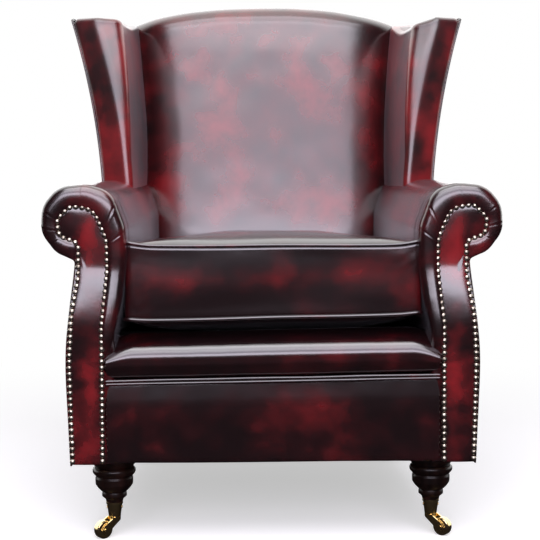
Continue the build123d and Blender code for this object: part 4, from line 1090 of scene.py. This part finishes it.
# Floor and light
def area_light(name, place, target, size, power, colour):
    """A rectangular softbox turned to a target."""
    data = bpy.data.lights.new(name, "AREA")
    data.shape = "RECTANGLE"
    data.size, data.size_y = size
    data.energy = power
    data.color = colour
    light = new_object(name, data)
    light.location = place
    light.rotation_euler = (Vector(target) - Vector(place)).to_track_quat("-Z", "Y").to_euler()
    light.visible_camera = False


area_light("low_softbox", (0.0, -3.6, 1.58), (0.0, 0.0, 0.80), (3.4, 0.90), 47.0, (1.0, 0.93, 1.08))
area_light("front_softbox", (0.0, -3.45, 2.50), (0.0, 0.0, 0.70), (4.2, 0.95), 26.0, (1.0, 0.93, 1.10))
area_light("high_softbox", (0.0, -3.0, 3.35), (0.0, 0.0, 0.70), (4.2, 1.0), 50.0, (1.0, 0.96, 1.06))
area_light("top_softbox", (0.0, -1.55, 3.6), (0.0, -0.5, 0.60), (3.4, 1.9), 70.0, (1.0, 0.97, 1.05))


def make_world():
    """White behind the chair and overhead, a dim room in front of it, and an even fill."""
    world = bpy.data.worlds.new("studio")
    world.use_nodes = True
    bpy.context.scene.world = world
    add, fill = node_tools(world.node_tree)
    path = add("LightPath").outputs
    place = add("SeparateXYZ", add("TexCoord").outputs["Generated"]).outputs
    depth = add("MapRange", Value=place["Y"], From_Min=-0.05, From_Max=0.35, To_Min=0.02, To_Max=2.2)
    above = add("MapRange", Value=place["Z"], From_Min=0.86, From_Max=0.99, To_Max=2.0)
    around = add("Math", depth, above, operation="MAXIMUM")
    shining = add("Math", path["Is Glossy Ray"], path["Is Transmission Ray"], operation="MAXIMUM")
    lit = add("Mix", shining, None, 0.20, around)
    whole = add("Mix", path["Is Camera Ray"], None, lit, 1.0)
    fill(world.node_tree.nodes["Background"], Color=(1.0, 1.0, 1.0, 1.0), Strength=whole)


def make_floor(reach):
    """A plain white floor that keeps a soft shadow, dim to what shines in the leather."""
    material, _, place, add, fill = new_material("floor_paint")
    path = add("LightPath").outputs
    cloud = add("TexNoise", Vector=place, Scale=1.5, Detail=2.0)
    paint = ramp_of(add, cloud, [(0.3, (0.80, 0.80, 0.80)), (0.7, (0.82, 0.82, 0.82))])
    diffuse = add("BsdfDiffuse", Color=paint)
    lit = add("AddShader", diffuse, add("Emission", Strength=0.50))
    distance = add("VectorMath", place, operation="LENGTH").outputs["Value"]
    away = add("MapRange", Value=distance, From_Min=0.55, From_Max=1.9, interpolation_type="SMOOTHSTEP")
    faded = add("MixShader", away, lit, add("Emission", Strength=1.0))
    seen = add("MixShader", path["Is Camera Ray"], diffuse, faded)
    dim = add("BsdfDiffuse", Color=(0.02, 0.018, 0.018, 1.0))
    whole = add("MixShader", path["Is Glossy Ray"], seen, dim)
    fill(material.node_tree.nodes["Material Output"], Surface=whole)
    mesh = bpy.data.meshes.new("floor")
    corners = [(-reach, -reach, 0), (reach, -reach, 0), (reach, reach, 0), (-reach, reach, 0)]
    mesh.from_pydata(corners, [], [(0, 1, 2, 3)])
    mesh.materials.append(material)
    floor = new_object("floor", mesh)


make_world()
make_floor(14.0)
bpy.context.scene.view_settings.view_transform = "Standard"
